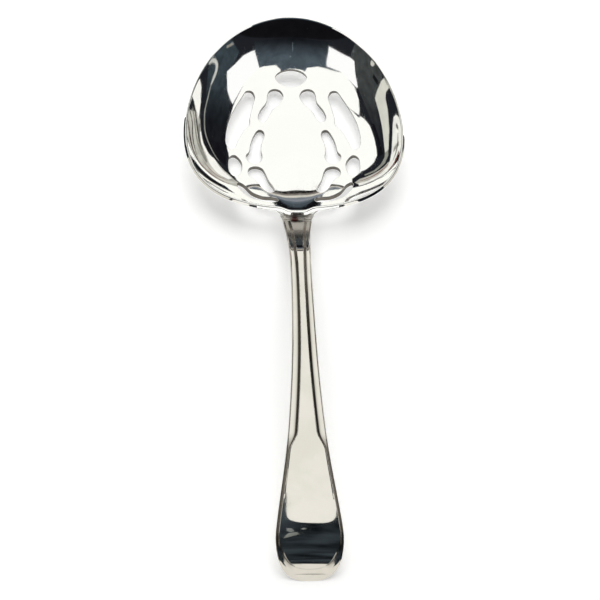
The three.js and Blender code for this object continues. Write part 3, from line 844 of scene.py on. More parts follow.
def handle_rings(tip_y, tip_z):
    """Rings from the solder to the tip and their marks, for a top line that ends at the tip."""
    s, y, z, tangent = top_line(tip_y, tip_z)
    length = s[-1]
    end_start = length - END_ROUND
    rings, marks = [], []
    for at, half_width, out in stations_along(s):
        flare = ease(at, SHOULDERS - SHOULDERS_LENGTH / 2, SHOULDERS + SHOULDERS_LENGTH / 2)
        dark = mix(mix(GROOVE, EDGE_LINE, flare), UPPER_LINE, ease(at - end_start, *TIP_LINE_START))
        marks.append(dark * ease(at, *SHADE_START) * (1 - ease(at - end_start, *SHADE_END)))
        band = mix(BAND_AT_NECK, BAND_AT_SHOULDERS, min(1, at / SHOULDERS))
        plain_run = mix(END_STEP_RUN, TIP_STEP_RUN, ease(at, end_start, length))
        ring = section(half_width, math.cos(out) if half_width else 0.0, math.sin(out),
                       mix(band, EDGE_RUN + plain_run + 0.1, flare), mix(STEP_RUN, plain_run, flare),
                       mix(NECK_THICK, END_THICK, ease(at, 0, length)))
        where = np.clip(at + ring[:, 1], 0, length)
        base_y, base_z = np.interp(where, s, y), np.interp(where, s, z)
        along_y, along_z = np.interp(where, s, tangent[:, 0]), np.interp(where, s, tangent[:, 1])
        if at == 0:
            along_y, along_z = -1.0, 0.0
        rings.append(np.stack([ring[:, 0], base_y - along_z * ring[:, 2], base_z - along_y * ring[:, 2]],
                              axis=1))
    return np.array(rings), np.array(marks)


tip_y, tip_z = -LENGTH / 2, 0.0
for _ in range(FITTING_ROUNDS):
    rings, marks = handle_rings(tip_y, tip_z)
    low = rings.reshape(-1, 3).min(0)
    tip_y -= LENGTH / 2 + low[1]
    tip_z -= low[2]
print("handle:", rings.shape, "tip at", round(tip_y, 2), round(tip_z, 2))

# %% [markdown]
# Rings become a shell of quads. Its normals come from the grid itself, as the cross product of the
# direction round a ring and the direction along the rings, which is smoother than the faces are.

# %% Shell over rings
WELD_WITHIN = 1e-4


def shell(rings, close_end):
    """Points, normals and faces over rings, closed at the start and perhaps at the end."""
    count = rings.shape[1]
    normals = unit(np.cross(slope_along(rings, 1, True), slope_along(rings, 0, False))).reshape(-1, 3)
    points = rings.reshape(-1, 3)
    polygons = []
    for i in range(len(rings) - 1):
        for j in range(count):
            k = (j + 1) % count
            polygons.append([i * count + j, i * count + k, (i + 1) * count + k, (i + 1) * count + j])
    ends = [0, (len(rings) - 1) * count] if close_end else [0]
    for first in ends:
        cap = list(range(len(points), len(points) + count))
        points = np.vstack([points, points[first:first + count]])
        normals = np.vstack([normals, np.tile([0.0, -1.0 if first else 1.0, 0.0], (count, 1))])
        polygons.append(cap if first else cap[::-1])
    corners = points[np.array([p[:3] for p in polygons])]
    volume = np.einsum("ij,ij->i", np.cross(corners[:, 0], corners[:, 1]), corners[:, 2]).sum()
    if volume < 0:
        polygons = [p[::-1] for p in polygons]
    return points, normals, polygons


def weld(points, normals, polygons):
    """Make one point of those that fall together: the first of each, its normal, the faces."""
    _, first_of, group = np.unique((points / WELD_WITHIN).round().astype(np.int64), axis=0,
                                   return_index=True, return_inverse=True)
    group = group.ravel()
    total = np.zeros((len(first_of), 3))
    np.add.at(total, group, normals)
    welded = []
    for polygon in polygons:
        ring = [group[p] for p in polygon]
        ring = [p for p, before in zip(ring, ring[-1:] + ring[:-1]) if p != before]
        if len(ring) > 2:
            welded.append(ring)
    return first_of, unit(total), welded


print("faces of the handle:", len(shell(rings, False)[2]))

# %% [markdown]
# Where points fall together, as at the tip, the skin has them welded into one and their normals
# added. At a sharp edge, such as round a closed end, a normal of the grid would lean too far from
# the faces, and the faces' own is used. The same function makes the handle, the seam and the heel.

# %% Skin over rings
TOO_FAR = 0.5


def skin(name, rings, material, close_end=False, marks=None):
    """A closed piece over rings of points, in millimetres, with smooth normals."""
    points, normals, polygons = shell(rings, close_end)
    first_of, normals, polygons = weld(points, normals, polygons)
    mesh = bpy.data.meshes.new(name)
    mesh.from_pydata((points[first_of] * MM).tolist(), [], polygons)
    mesh.validate()
    mesh.materials.append(material)
    outward = read_vectors(mesh.vertices, "normal")
    if (normals * outward).sum() < 0:
        normals = -normals
    poor = (normals * outward).sum(axis=1) < TOO_FAR
    normals[poor] = outward[poor]
    finish_mesh(mesh, normals)
    if marks is not None:
        mark(mesh, "recess", np.concatenate([marks.ravel(), np.zeros(len(points))])[first_of])
    piece = bpy.data.objects.new(name, mesh)
    bpy.context.scene.collection.objects.link(piece)
    print(name, len(mesh.vertices), "points,", int(poor.sum()), "normals from the faces")
    return piece


handle = skin("panelled_handle", rings, silver, marks=marks)

# %% [markdown]
# ## Heel and solder seam
# The stem is soldered to a short heel on the outside of the bowl. The heel widens in a quarter
# turn until it is lost in the bowl's wall, and the seam is a thin line of solder round the joint.
# Both use the stem's own section.

# %% Heel and seam
def hollow_height(plan):
    """Height of the hollow's surface over places in plan, from the deepest point."""
    s = SIZES
    flat = on_blank(plan)
    share = np.hypot(flat[:, 0], flat[:, 1])
    cosine = flat[:, 1] / np.maximum(share, 1e-6)
    wall = np.maximum(0, share - s["Flat share"]) / (1 - s["Flat share"])
    rim_y = rim_outline(np.arccos(np.clip(cosine, -1, 1)))[1]
    start = s["Middle"] - s["Deepest"] - s["Bowl length"] / 2
    rim = mix(s["Rim at heel"], s["Rim at tip"], (rim_y - start) / s["Bowl length"])
    return SHEET + (rim - SHEET) * wall ** wall_curve(cosine)


def stand(across, y, height):
    """A ring that stands square to the spoon's length at this y."""
    return np.stack([across, np.full(len(across), y), height], axis=1)


heel_rings = []
for angle in np.linspace(0, np.pi / 2, 25):
    half_width = HEEL_WIDTH / 2 + HEEL_FLARE * (1 - math.cos(angle))
    ring = section(half_width, 1, 0, BAND_AT_NECK, STEP_RUN, NECK_THICK)
    y = STEM_FACE + HEEL_DEPTH * math.sin(angle)
    roof = hollow_height(stand(ring[:, 0], y - SIZES["Deepest"], ring[:, 2])[:, :2]) - SHEET / 2
    height = STEM_TOP + ring[:, 2] * mix(1, HEEL_THIN / NECK_THICK, math.sin(angle))
    heel_rings.append(stand(ring[:, 0], y, np.minimum(height, roof)))
heel = skin("heel", np.array(heel_rings), silver, close_end=True)
solder = bpy.data.materials.new("silver_solder")
seam_rings = [stand(stem_section[:, 0], y, STEM_TOP + stem_section[:, 2])
              for y in (HANDLE_FACE, (HANDLE_FACE + STEM_FACE) / 2, STEM_FACE)]
seam = skin("solder_line", np.array(seam_rings), solder, close_end=True)

# %% [markdown]
# ## Finishes
# Solid silver that has been buffed and then used for years is still a mirror: metallic 1, and a
# bright colour a little warmer than white. What tells it from chrome is its wear. The handle's
# colour is darker than the bowl's, a painted shade for the dimmer light it mirrors, with random
# mottles like a film from fingers. Near the seam the stem turns a brownish grey. In the grooves
# and along the end's edges a dark brown is painted shade. In the corner at the seam a pale, less
# metallic patch is a painted highlight, and a dark red patch on the stem's top is a painted
# reflection. The sawn sides of the openings are painted a dull grey, a painted shade. A patch of
# the mottles is about as wide as a fingertip, 11 mm, so its noise has a scale of 0.09 to the
# millimetre.

# %% Polished silver: its colour
# Middle of a dark red patch on the stem's top at the seam, a painted reflection.
RED_SEAM_PLACE = (-1.0, 21.7, 9.6)


def cleared(material):
    """Empty the material's tree and return it with the object's own coordinates, in metres."""
    material.use_nodes = True
    tree = material.node_tree
    tree.nodes.clear()
    return tree, add(tree, "ShaderNodeTexCoord", out="Object")


tree, metres = cleared(silver)
place = add(tree, VECTOR, {0: metres, "Scale": 1 / MM}, operation="SCALE")
along = add(tree, "ShaderNodeSeparateXYZ", [place], out="Y")
up = along.node.outputs["Z"]
recess = add(tree, "ShaderNodeAttribute", out="Fac", attribute_name="recess")
cut = add(tree, "ShaderNodeAttribute", out="Fac", attribute_name="cut")
blotch = add(tree, NOISE, {"Vector": place, "Scale": 0.09, "Detail": 4.0}, out="Fac")
filmed = add(tree, RANGE, [blotch, 0.35, 0.65], **SMOOTH)
# The handle's colour, darker than the bowl's, is a painted shade for the dimmer light it mirrors; its mottles
# are random.
film_and_shade = add(tree, MIX, {0: filmed, 6: linear("e9e5de"), 7: linear("e2dfd6")}, **RGBA)
on_bowl = add(tree, RANGE, [along, 21.9, 22.1], **SMOOTH)
# Over the stem's last 8 mm before the seam it turns a brownish grey, which fades out over 6 mm more.
before_seam = add(tree, RANGE, [along, 22.0, 23.2, 1.0, 0.0], **SMOOTH)
near_seam = add(tree, RANGE, [along, 8.0, 14.0], **SMOOTH)
grey_near_seam = add(tree, MATH, [near_seam, before_seam], operation="MULTIPLY")
# A pale, less metallic patch in the corner under the rim at the seam is a painted highlight.
corner_start = add(tree, RANGE, [along, 20.9, 21.8], **SMOOTH)
corner_end = add(tree, RANGE, [along, 23.5, 25.0, 1.0, 0.0], **SMOOTH)
below_rim = add(tree, RANGE, [up, 9.7, 10.0, 1.0, 0.0], **SMOOTH)
in_corner = add(tree, MATH, [corner_start, corner_end], operation="MULTIPLY")
pale_corner_highlight = add(tree, MATH, [in_corner, below_rim], operation="MULTIPLY")
# A dark red patch on the stem's top at the seam is a painted reflection of dark red.
from_red_seam = add(tree, VECTOR, [place, RED_SEAM_PLACE], out="Value", operation="DISTANCE")
red_seam_reflection = add(tree, RANGE, [from_red_seam, 0.8, 1.9, 1.0, 0.0], **SMOOTH)
# Dark brown in the grooves and along the end's edges is painted shade.
painted_groove_shade = add(tree, MATH, [recess, 0.9], operation="MULTIPLY")
# The sawn sides of the openings are painted dark grey, a painted shade for the shaded table they mirror.
sawn_side_shade = add(tree, RANGE, [cut, 0.5, 1.0], **SMOOTH)
colour = film_and_shade
# The handle's darker colour under the bowl's is painted shade, the pale corner patch a painted highlight, the
# red patch a painted reflection, and the grooves' brown and the sawn sides' grey painted shade.
for share, hex_colour in ((on_bowl, "fefefc"), (grey_near_seam, "a8a39c"), (pale_corner_highlight, "c9c5bd"),
                          (red_seam_reflection, "5c2f2c"), (painted_groove_shade, "625b50"), (sawn_side_shade, "77736c")):
    colour = add(tree, MIX, {0: share, 6: colour, 7: linear(hex_colour)}, **RGBA)
print("silver's colour:", len(tree.nodes), "nodes")

# %% [markdown]
# The buff and the cloth leave a haze of hair-fine scratches. They are drawn wider than real ones,
# which would be lost between the pixels: streaks in three directions, 0.5 to 0.8 mm apart and 13
# to 21 mm long, each a noise that is stretched one way. The grey near the seam, the marks of
# painted shade, the sawn sides and the pale corner patch are rougher too. Pressing and buffing
# leave very shallow waves about 6 mm long, which make the reflections wander a little.

# %% Polished silver: its scratches and roughness
scratches = []
for turned, scale, stretch in ((0.15, 1.6, 0.03), (-0.5, 1.2, 0.05), (1.3, 1.9, 0.04)):
    aimed = add(tree, "ShaderNodeMapping", {"Vector": place, "Rotation": (0.0, 0.0, turned),
                                            "Scale": (scale, stretch * scale, scale)})
    lines = add(tree, NOISE, {"Vector": aimed, "Scale": 1.0, "Detail": 3.0}, out="Fac")
    scratches.append(add(tree, RANGE, [lines, 0.62, 0.72], **SMOOTH))
scratched = scratches[0]
for more in scratches[1:]:
    scratched = add(tree, MATH, [scratched, more], operation="MAXIMUM")
haze = add(tree, RANGE, [blotch, 0.4, 0.7, 0.035, 0.06], **SMOOTH)
rough = haze
for worn, rise in ((scratched, 0.05), (grey_near_seam, 0.1), (recess, 0.2), (cut, 0.2), (pale_corner_highlight, 0.4)):
    rough = add(tree, MATH, [worn, rise, rough], operation="MULTIPLY_ADD")
waves = add(tree, NOISE, {"Vector": place, "Scale": 0.16, "Detail": 1.0}, out="Fac")
bump = add(tree, "ShaderNodeBump", {"Height": waves, "Strength": 1.0, "Distance": 0.000006})
bare = add(tree, RANGE, [pale_corner_highlight, 0.0, 1.0, 1.0, 0.2], **SMOOTH)
shader = add(tree, "ShaderNodeBsdfPrincipled",
             {"Base Color": colour, "Metallic": bare, "Roughness": rough, "Normal": bump})
add(tree, "ShaderNodeOutputMaterial", [shader])
print("silver:", len(tree.nodes), "nodes")

# %% [markdown]
# Silver solder holds more copper and zinc than the metal it joins, so its seam is yellower and
# duller, with mottles under a millimetre wide. It was filed flush and buffed with the rest, and it
# lies in the corner under the rim.

# %% Silver solder
tree, metres = cleared(solder)
place = add(tree, VECTOR, {0: metres, "Scale": 1 / MM}, operation="SCALE")
grain = add(tree, NOISE, {"Vector": place, "Scale": 1.5, "Detail": 3.0}, out="Fac")
spotted = add(tree, RANGE, [grain, 0.35, 0.65], **SMOOTH)
colour = add(tree, MIX, {0: spotted, 6: linear("8f857a"), 7: linear("b5ada0")}, **RGBA)
rough = add(tree, RANGE, [grain, 0.3, 0.7, 0.18, 0.3], **SMOOTH)
shader = add(tree, "ShaderNodeBsdfPrincipled", {"Base Color": colour, "Metallic": 1.0, "Roughness": rough})
add(tree, "ShaderNodeOutputMaterial", [shader])
print("solder:", len(tree.nodes), "nodes")

# %% [markdown]
# ## The studio
# A mirror shows only what stands round it, so the studio is half of the picture. The spoon lies
# on a white table. Beyond it, and over it, hangs a wide cream sheet that serves as a window.
# Two white cards stand high at the sides, and the rest of the room is dark, with screens and
# strips low down. The table shows part of its white by itself, and the lamp adds the rest, so
# that the spoon's soft shadow and the shade under its openings stay. Farther away, where the lamp's
# light fades, the table's own white takes its place.

# %% Table
TABLE_HALF = 10.0
WHITE = linear("ffffff")
OWN_WHITE = 0.345


def plain_mesh(name, points, polygons, material):
    """A piece of the studio, which isn't part of the spoon."""
    mesh = bpy.data.meshes.new(name)
    mesh.from_pydata(points, [], polygons)
    mesh.materials.append(material)
    piece = bpy.data.objects.new(name, mesh)
    bpy.context.scene.collection.objects.link(piece)
    return piece


paper = bpy.data.materials.new("white_table")
tree, metres = cleared(paper)
place = add(tree, VECTOR, {0: metres, "Scale": 1 / MM}, operation="SCALE")
away = add(tree, VECTOR, [place], out="Value", operation="LENGTH")
strength = add(tree, RANGE, [away, 200, 900, OWN_WHITE, 1.0], **SMOOTH)
ray = add(tree, "ShaderNodeLightPath").node
seen = add(tree, MATH, [ray.outputs["Is Camera Ray"], ray.outputs["Is Glossy Ray"]], operation="MAXIMUM")
lit = add(tree, "ShaderNodeBsdfDiffuse", {"Color": linear("e8e8e8")})
glow = add(tree, "ShaderNodeEmission", {"Color": WHITE, "Strength": strength})
both = add(tree, "ShaderNodeAddShader", [lit, glow])
shown = add(tree, "ShaderNodeMixShader", [seen, lit, both])
add(tree, "ShaderNodeOutputMaterial", [shown])
table_corners = [(x * TABLE_HALF, y * TABLE_HALF, 0) for x, y in ((-1, -1), (1, -1), (1, 1), (-1, 1))]
plain_mesh("table", table_corners, [(0, 1, 2, 3)], paper)
print("table:", 2 * TABLE_HALF, "m wide")

# %% [markdown]
# One wide, soft lamp stands behind the spoon and above it, and gives it its shadow. The metal
# doesn't mirror the lamp, because the cream sheet already stands for what the metal sees there.

# %% Lamp
lamp = bpy.data.objects.new("soft_lamp", bpy.data.lights.new("soft_lamp", "AREA"))
bpy.context.scene.collection.objects.link(lamp)
lamp.data.shape = "DISK"
lamp.data.size = 3.0
lamp.data.energy = 53.5
lamp.location = (0.0, 1.5, 2.2)
lamp.rotation_euler = Vector(lamp.location).to_track_quat("Z", "Y").to_euler()
lamp.visible_glossy = False
print("lamp:", lamp.data.energy, "W,", lamp.data.size, "m wide")

# %% [markdown]
# The room itself is dark. Only the camera sees it white, so that the picture's background stays
# white past the table's edge.

# %% Room
world = bpy.data.worlds.new("dark_room")
bpy.context.scene.world = world
world.use_nodes = True
tree = world.node_tree
tree.nodes.clear()
for_camera = add(tree, "ShaderNodeLightPath", out="Is Camera Ray")
dark = add(tree, "ShaderNodeBackground", {"Color": linear("1e2025"), "Strength": 1.0})
white = add(tree, "ShaderNodeBackground", {"Color": WHITE, "Strength": 1.0})
shown = add(tree, "ShaderNodeMixShader", [for_camera, dark, white])
add(tree, "ShaderNodeOutputWorld", [shown])
print("room:", len(tree.nodes), "nodes")

# %% [markdown]
# What the mirror shows has to glow by itself, since the lamp is for the table. A glowing sheet is
# cloth or card under uneven light, so its tone wanders a little with a noise.

# %% A glowing finish
def glowing(name, colour, uneven, grain=1.4):
    """A material that glows in this colour. Uneven is how much its tone wanders.

    A pair of colours and of distances along Y makes a tone that runs from one to the other."""
    material = bpy.data.materials.new(name)
    tree, place = cleared(material)
    blotch = add(tree, NOISE, {"Vector": place, "Scale": grain, "Detail": 3.0}, out="Fac")
    tone = add(tree, RANGE, [blotch, 0.3, 0.7, 1 - uneven, 1 + uneven])
    if isinstance(colour, tuple):
        first, second, start, end = colour
        along = add(tree, "ShaderNodeSeparateXYZ", [place], out="Y")
        share = add(tree, RANGE, [along, start, end], **SMOOTH)
        colour = add(tree, MIX, {0: share, 6: linear(first), 7: linear(second)}, **RGBA)
    else:
        colour = linear(colour)
    glow = add(tree, "ShaderNodeEmission", {"Color": colour, "Strength": tone})
    add(tree, "ShaderNodeOutputMaterial", [glow])
    return material


print("white glows as", WHITE)

# %% [markdown]
# Each sheet, card or strip is a panel of a dome 8 m away. Its corners are given in degrees from
# the zenith, towards +X and towards +Y, as seen from the middle of the bowl. A panel is cut out of
# the dome in small triangles, so that it keeps its outline.

# %% A panel of the dome
DOME_RADIUS, LAYER_GAP = 8.0, 0.1
DOME_MIDDLE = Vector((0, 0.0626, 0.003))
OUTLINE_STEP, GRID_STEP = 3, 4.0


def on_dome(x, y, radius):
    """The point of the dome that stands this many degrees from the zenith."""
    from_zenith = math.radians(math.hypot(x, y))
    aim = math.atan2(x, y)
    towards = Vector((math.sin(aim) * math.sin(from_zenith), math.cos(aim) * math.sin(from_zenith),
                      math.cos(from_zenith)))
    return towards * radius + DOME_MIDDLE


def dome_panel(name, colour, layer, uneven, corners):
    """A panel of the dome. A higher layer lies behind a lower one."""
    outline = []
    for p0, p1 in zip(corners, corners[1:] + corners[:1]):
        p0, p1 = np.array(p0, float), np.array(p1, float)
        steps = max(1, round(np.linalg.norm(p1 - p0) / OUTLINE_STEP))
        outline += [mix(p0, p1, k / steps) for k in range(steps)]
    outline = np.array(outline)
    after = np.roll(outline, -1, axis=0)
    if np.sum(outline[:, 0] * after[:, 1] - after[:, 0] * outline[:, 1]) < 0:
        outline = outline[::-1]
    (low_x, low_y), (high_x, high_y) = outline.min(0), outline.max(0)
    grid = [(x, y) for x in np.arange(low_x, high_x, GRID_STEP) for y in np.arange(low_y, high_y, GRID_STEP)]
    count = len(outline)
    edges = [(i, (i + 1) % count) for i in range(count)]
    flat, _, triangles, _, _, faces_of = delaunay_2d_cdt(
        [Vector(p) for p in outline.tolist() + grid], edges, [list(range(count))], INSIDE_ONLY, 1e-6, True)
    points = [on_dome(x, y, DOME_RADIUS + LAYER_GAP * layer) for x, y in flat]
    faces = [t for t, f in zip(triangles, faces_of) if list(f) == [0]]
    panel = plain_mesh(name, points, faces, glowing(name, colour, uneven))
    panel.visible_camera = False


print("the zenith on the dome:", [round(part, 3) for part in on_dome(0, 0, DOME_RADIUS)])

# %% [markdown]
# Most panels are given by their corners. Thin things are easier to give by a path, and small round
# ones by their middle: a strip narrows to a point at each end, as a squeezed reflection does.

# %% Strips and ovals
SMOOTHING_ROUNDS = 6


def strip(width, *path):
    """Corners of a strip along a path, which narrows to a point at each end."""
    path = np.array(path, float)
    at = np.arange(len(path))
    fine = np.linspace(0, len(path) - 1, 6 * len(path))
    line = np.stack([np.interp(fine, at, path[:, k]) for k in (0, 1)], axis=1)
    for _ in range(SMOOTHING_ROUNDS):
        line[1:-1] = (line[:-2] + 2 * line[1:-1] + line[2:]) / 4
    along = unit(np.gradient(line, axis=0))
    half = 0.5 * width * np.sin(np.linspace(0.1, np.pi - 0.1, len(line)))[:, None] ** 0.5
    aside = half * np.stack([along[:, 1], -along[:, 0]], axis=1)
    return [tuple(p) for p in np.vstack([line + aside, (line - aside)[::-1]])]


def oval(x, y, across, along, count=28):
    """Corners of an oval round x, y."""
    angles = [2 * math.pi * k / count for k in range(count)]
    return [(x + across * math.cos(angle), y + along * math.sin(angle)) for angle in angles]


print("an oval has", len(oval(0, 0, 1, 1)), "corners")

# %% [markdown]
# The bowl's floor and far wall mirror the high panels: the cream sheet and the two cards in
# front, and dark screens behind them. The lists hold each panel's name, colour, layer, unevenness
# and corners.

# %% Window, cards and the far screens
PANELS = [
    ("cream_window", "fffffb", 0, 0.01, [
        (20, 0.5), (26.5, 8.5), (29, 21.5), (28, 30), (25, 39.5), (23.5, 41.5), (21, 57.5), (17, 69),
        (13.5, 74), (11, 79), (8.5, 83), (-1, 83), (-4, 77), (-8, 72), (-9.5, 65), (-18, 57),
        (-22.5, 56.5), (-30.5, 53), (-35.5, 48), (-36.2, 44), (-36.2, 36.5), (-35, 30), (-32, 27),
        (-29, 25.5), (-26, 26), (-20, 21.5), (-23.5, 23.5), (-27.5, 25), (-30, 22.5), (-33.5, 17),
        (-34.5, 10), (-31, 5), (-28, 1), (-21.5, 0.5), (-16, -0.5), (-11, -1), (-4.5, 1), (-3, 4),
        (-2, 3), (0.5, 2.5), (3.5, 2.5), (7, 4.5), (7.5, 2.5), (10, -0.5), (17, -0.5)]),
    ("right_card", "ffffff", -1, 0.0, [
        (27, -11), (30, -10), (35.5, -7.3), (40.9, -1.8), (46.4, 3.6), (43, 9), (40, 13.6),
        (34.5, 18.2), (30, 21.4), (26.5, 9), (19.5, 0.5), (22.5, -4.5)]),
    ("left_card", "ffffff", -1, 0.0, [
        (-24, -14.5), (-31.5, -11), (-40, -7), (-43, -4.5), (-40.5, 1), (-37.5, 10), (-36, 10.5),
        (-31, 5), (-28, 1), (-17, -2), (-18.5, -5.5), (-22, -11)]),
    ("far_block", ("14161a", "48525a", -2.6, -0.5), 3, 0.2, [
        (-26, 6), (26, 6), (27, -10), (29, -16), (14, -18), (0, -19), (-26, -17)]),
    ("far_streak_1", "5b646c", 2.6, 0.2, strip(0.5, (1.6, -16), (1.7, -12), (1.9, -9.5))),
    ("far_streak_2", "6e777e", 2.6, 0.2, oval(3.0, -6.3, 0.4, 0.5, 8)),
    ("far_streak_3", "5a5f63", 2.6, 0.2, oval(-45, -9.5, 0.9, 0.7, 8)),
    ("far_streak_4", "787a7e", 2.6, 0.2, oval(48.8, -11.6, 1.6, 0.7, 10)),
    ("far_black", "101013", 4, 0.2, [(-60, -17), (0, -19), (60, -17), (70, -40), (0, -60), (-70, -40)]),
    ("right_mark", "8f8b82", 0.8, 0.2, [(48, -11.8), (50, -11.5), (54, -9), (53.4, -7.8), (49.5, -10)]),
    ("near_strip", "f4f2ec", 1, 0.05, [(-40, -56), (0, -58), (45, -56), (62, -70), (0, -88), (-60, -70)]),
]
print("panels:", len(PANELS))

# %% [markdown]
# The right wall of the bowl mirrors what stands at the left, and pulls it out into long curved
# lines: dark screens, a bent pale band, and thin grey and red strips low down.

# %% Panels at the left
PANELS += [
    ("left_grey", ("3f4242", "25262a", 0.8, 4.6), 3.2, 0.3, [
        (-37, 8), (-42, -9), (-52, -15), (-62, -8), (-67, 6), (-62, 15), (-50, 18), (-47, 30), (-42, 40),
        (-38, 26)]),
    ("left_black", "121216", 2.9, 0.2, [
        (-36.3, 50), (-38.5, 44), (-38.6, 34), (-37, 29), (-40.5, 30), (-42, 40), (-42.5, 50)]),
    ("left_black_low", "17181b", 2.8, 0.2, [(-60, 12), (-57.5, 13), (-55.5, 8), (-57.5, 6.5)]),
    ("left_band", "d3d2c8", 1, 0.06, [
        (-67.3, 19), (-65.5, 12.5), (-62.3, 12.5), (-55, 15.5), (-50.5, 18.2), (-49.7, 25.5),
        (-48.4, 31.8), (-46.6, 39.1), (-45.6, 43.6), (-44.6, 50), (-48.6, 50), (-51.4, 43.6),
        (-55, 37.3), (-59.5, 27.3), (-60.9, 21.8), (-63.2, 19.3)]),
    ("left_band_top", "8d8e85", 1.1, 0.15, [
        (-48.6, 49.5), (-44.6, 49.5), (-43, 54), (-38, 58.5), (-30, 62), (-20, 63), (-20, 65),
        (-31, 64.5), (-41, 61), (-47, 55)]),
    ("left_tongue", "ecebe5", 1, 0.1, [
        (-67.3, 37.3), (-65.5, 34.1), (-62.7, 33.8), (-59.5, 37.3), (-55.9, 43.6), (-53.2, 49.1),
        (-50.9, 54.5), (-46.8, 61.8), (-42.3, 67.3), (-34, 72), (-22, 75), (-12, 76), (-12, 81),
        (-34, 77), (-47, 71.5), (-55, 64.5), (-60, 58.2), (-63.2, 50.9), (-66.4, 43.6)]),
    ("left_tongue_spot", "5f5e5a", 0.8, 0.1, oval(-63.2, 40.9, 0.9, 2.2, 12)),
    ("left_tongue_streak", "9b9a92", 0.8, 0.1, [(-60.5, 51), (-54.5, 52), (-52.5, 56), (-59, 54.5)]),
    ("left_tongue_end", "3a2f2b", 0.8, 0.1, [(-56.5, 62.5), (-51, 65), (-50.5, 67.5), (-55.5, 66)]),
    ("left_high", "b9b7ae", 1.2, 0.25, [
        (-45, 62), (-40, 64.5), (-30, 66.5), (-15, 68), (-10, 73), (-12, 78), (-34, 76), (-47, 70)]),
    ("left_red_1", "6b332c", 0.7, 0.3, strip(1.5, (-57, 59.5), (-53.5, 64.5), (-49, 69), (-41, 73.5))),
    ("left_red_2", "7a453d", 0.7, 0.3, strip(1.2, (-54, 70), (-48, 74.5), (-40, 78), (-28, 81))),
    ("left_red_3", "6e3c36", 0.7, 0.3, strip(1.3, (-44, 65), (-31, 69.5), (-14, 72.2))),
    ("left_dark_line", "55504b", 0.7, 0.2, strip(0.9, (-62, 45), (-59, 52), (-55, 58), (-49, 64.5))),
    ("left_spot", "c8c6be", 1, 0.1, oval(-59.8, 1.4, 2.2, 1.6, 12)),
    ("left_rim_card", "d6d3ca", -1.4, 0.1, [
        (-80, 26), (-70, 24), (-69, 17), (-67.5, 9), (-65.5, 0), (-62, -12), (-57.5, -25), (-50.5, -40),
        (-44, -52), (-55, -70), (-80, -30)]),
]
print("panels:", len(PANELS))

# %% [markdown]
# The left wall mirrors the right side in the same way: a dark screen with a thin hooked line on
# it, and low down a bright wedge with darker strips over it.

# %% Panels at the right
PANELS += [
    ("right_blue", ("353f45", "17191d", 0.6, 4.2), 3.2, 0.35, [
        (44, 3), (34, 19), (30, 27), (32, 38), (47, 40), (58, 26), (66, 8), (64, -9), (50, -13), (40, -9)]),
    ("right_black", "15151a", 4, 0.2, [
        (25, 30), (26, 52), (31, 50), (38, 47), (47, 48.5), (53, 41), (58, 32), (50, 30), (38, 33)]),
    ("right_low", "bdbcb4", 1.2, 0.3, [
        (57, 39), (60, 34), (63.5, 33), (68, 34), (75, 38), (70, 52), (58, 65), (40, 76), (14, 83),
        (14, 75), (19, 69), (24, 62), (33, 54), (38, 50.5), (46, 50), (53, 44.5)]),
    ("right_bright", "f6f5f0", 0.9, 0.05, [
        (21, 67), (30, 59), (37, 51.5), (44.5, 49.5), (51.8, 45), (56.4, 39.5), (57.3, 40.5),
        (54, 46.5), (48, 51), (43, 58.5), (35, 66), (24, 71)]),
    ("right_mid_grey", "8a8982", 0.9, 0.2, [
        (52, 48), (56, 44), (59, 36), (60.5, 37), (58.5, 46), (54, 53), (46, 61), (45, 58)]),
    ("right_wedge", "f7f6f1", 0.8, 0.03, [
        (61.5, 34), (65.5, 32.7), (69, 31), (73.2, 29.5), (73, 23), (71, 17), (67.3, 19.5), (63.6, 26.4)]),
    ("right_dark_1", "3a3833", 0.7, 0.3, strip(
        1.5, (73, 29), (69, 31.2), (65.8, 34), (62, 38.5), (58, 44), (52, 51))),
    ("right_dark_2", "4a4640", 0.7, 0.3, strip(
        1.4, (74, 35.5), (70, 37.8), (66.5, 41), (64.3, 47.5), (61, 54), (55, 62))),
    ("right_dark_3", "4b3c37", 0.7, 0.3, strip(
        1.6, (72.5, 42), (70, 44.5), (67, 49.5), (62.5, 57), (56, 64), (47, 71))),
    ("right_grey_1", "86847c", 0.75, 0.2, strip(1.5, (70, 33.5), (66, 37), (62, 43), (57, 50), (49, 58))),
    ("right_red_1", "6f3f36", 0.7, 0.3, strip(1.3, (52, 66), (44, 71.5), (34, 76), (22, 79.5))),
    ("right_red_2", "7d5048", 0.7, 0.3, strip(1.0, (50, 60), (42, 66.5), (33, 71), (24, 74))),
    ("right_line", "94958f", 0.8, 0.2, strip(
        1.2, (57.5, 10), (58.6, 15), (57.8, 20), (57.6, 24), (57.2, 28), (55, 32.6), (52.3, 37.3),
        (47.5, 41.2), (41, 45.2), (33, 50.5))),
    ("right_hook", "c4c5c0", 0.75, 0.1, strip(
        2.6, (66.5, 6), (64.5, 3.4), (61.5, 1.8), (58.4, 2.6), (57.2, 6), (57.8, 10.5), (58.6, 14))),
    ("right_rim_card", "cfccc4", -1.4, 0.1, [
        (84, 42), (76.5, 39), (75, 20), (73, 7), (71, 1), (67, -8), (66, -20), (74, -30), (82, -10)]),
]
print("panels:", len(PANELS))

# %% [markdown]
# Low down beyond the table stands a nest of plain ovals, each in front of the one before. The near
# wall shows a squeezed image of them right behind the rim's point.

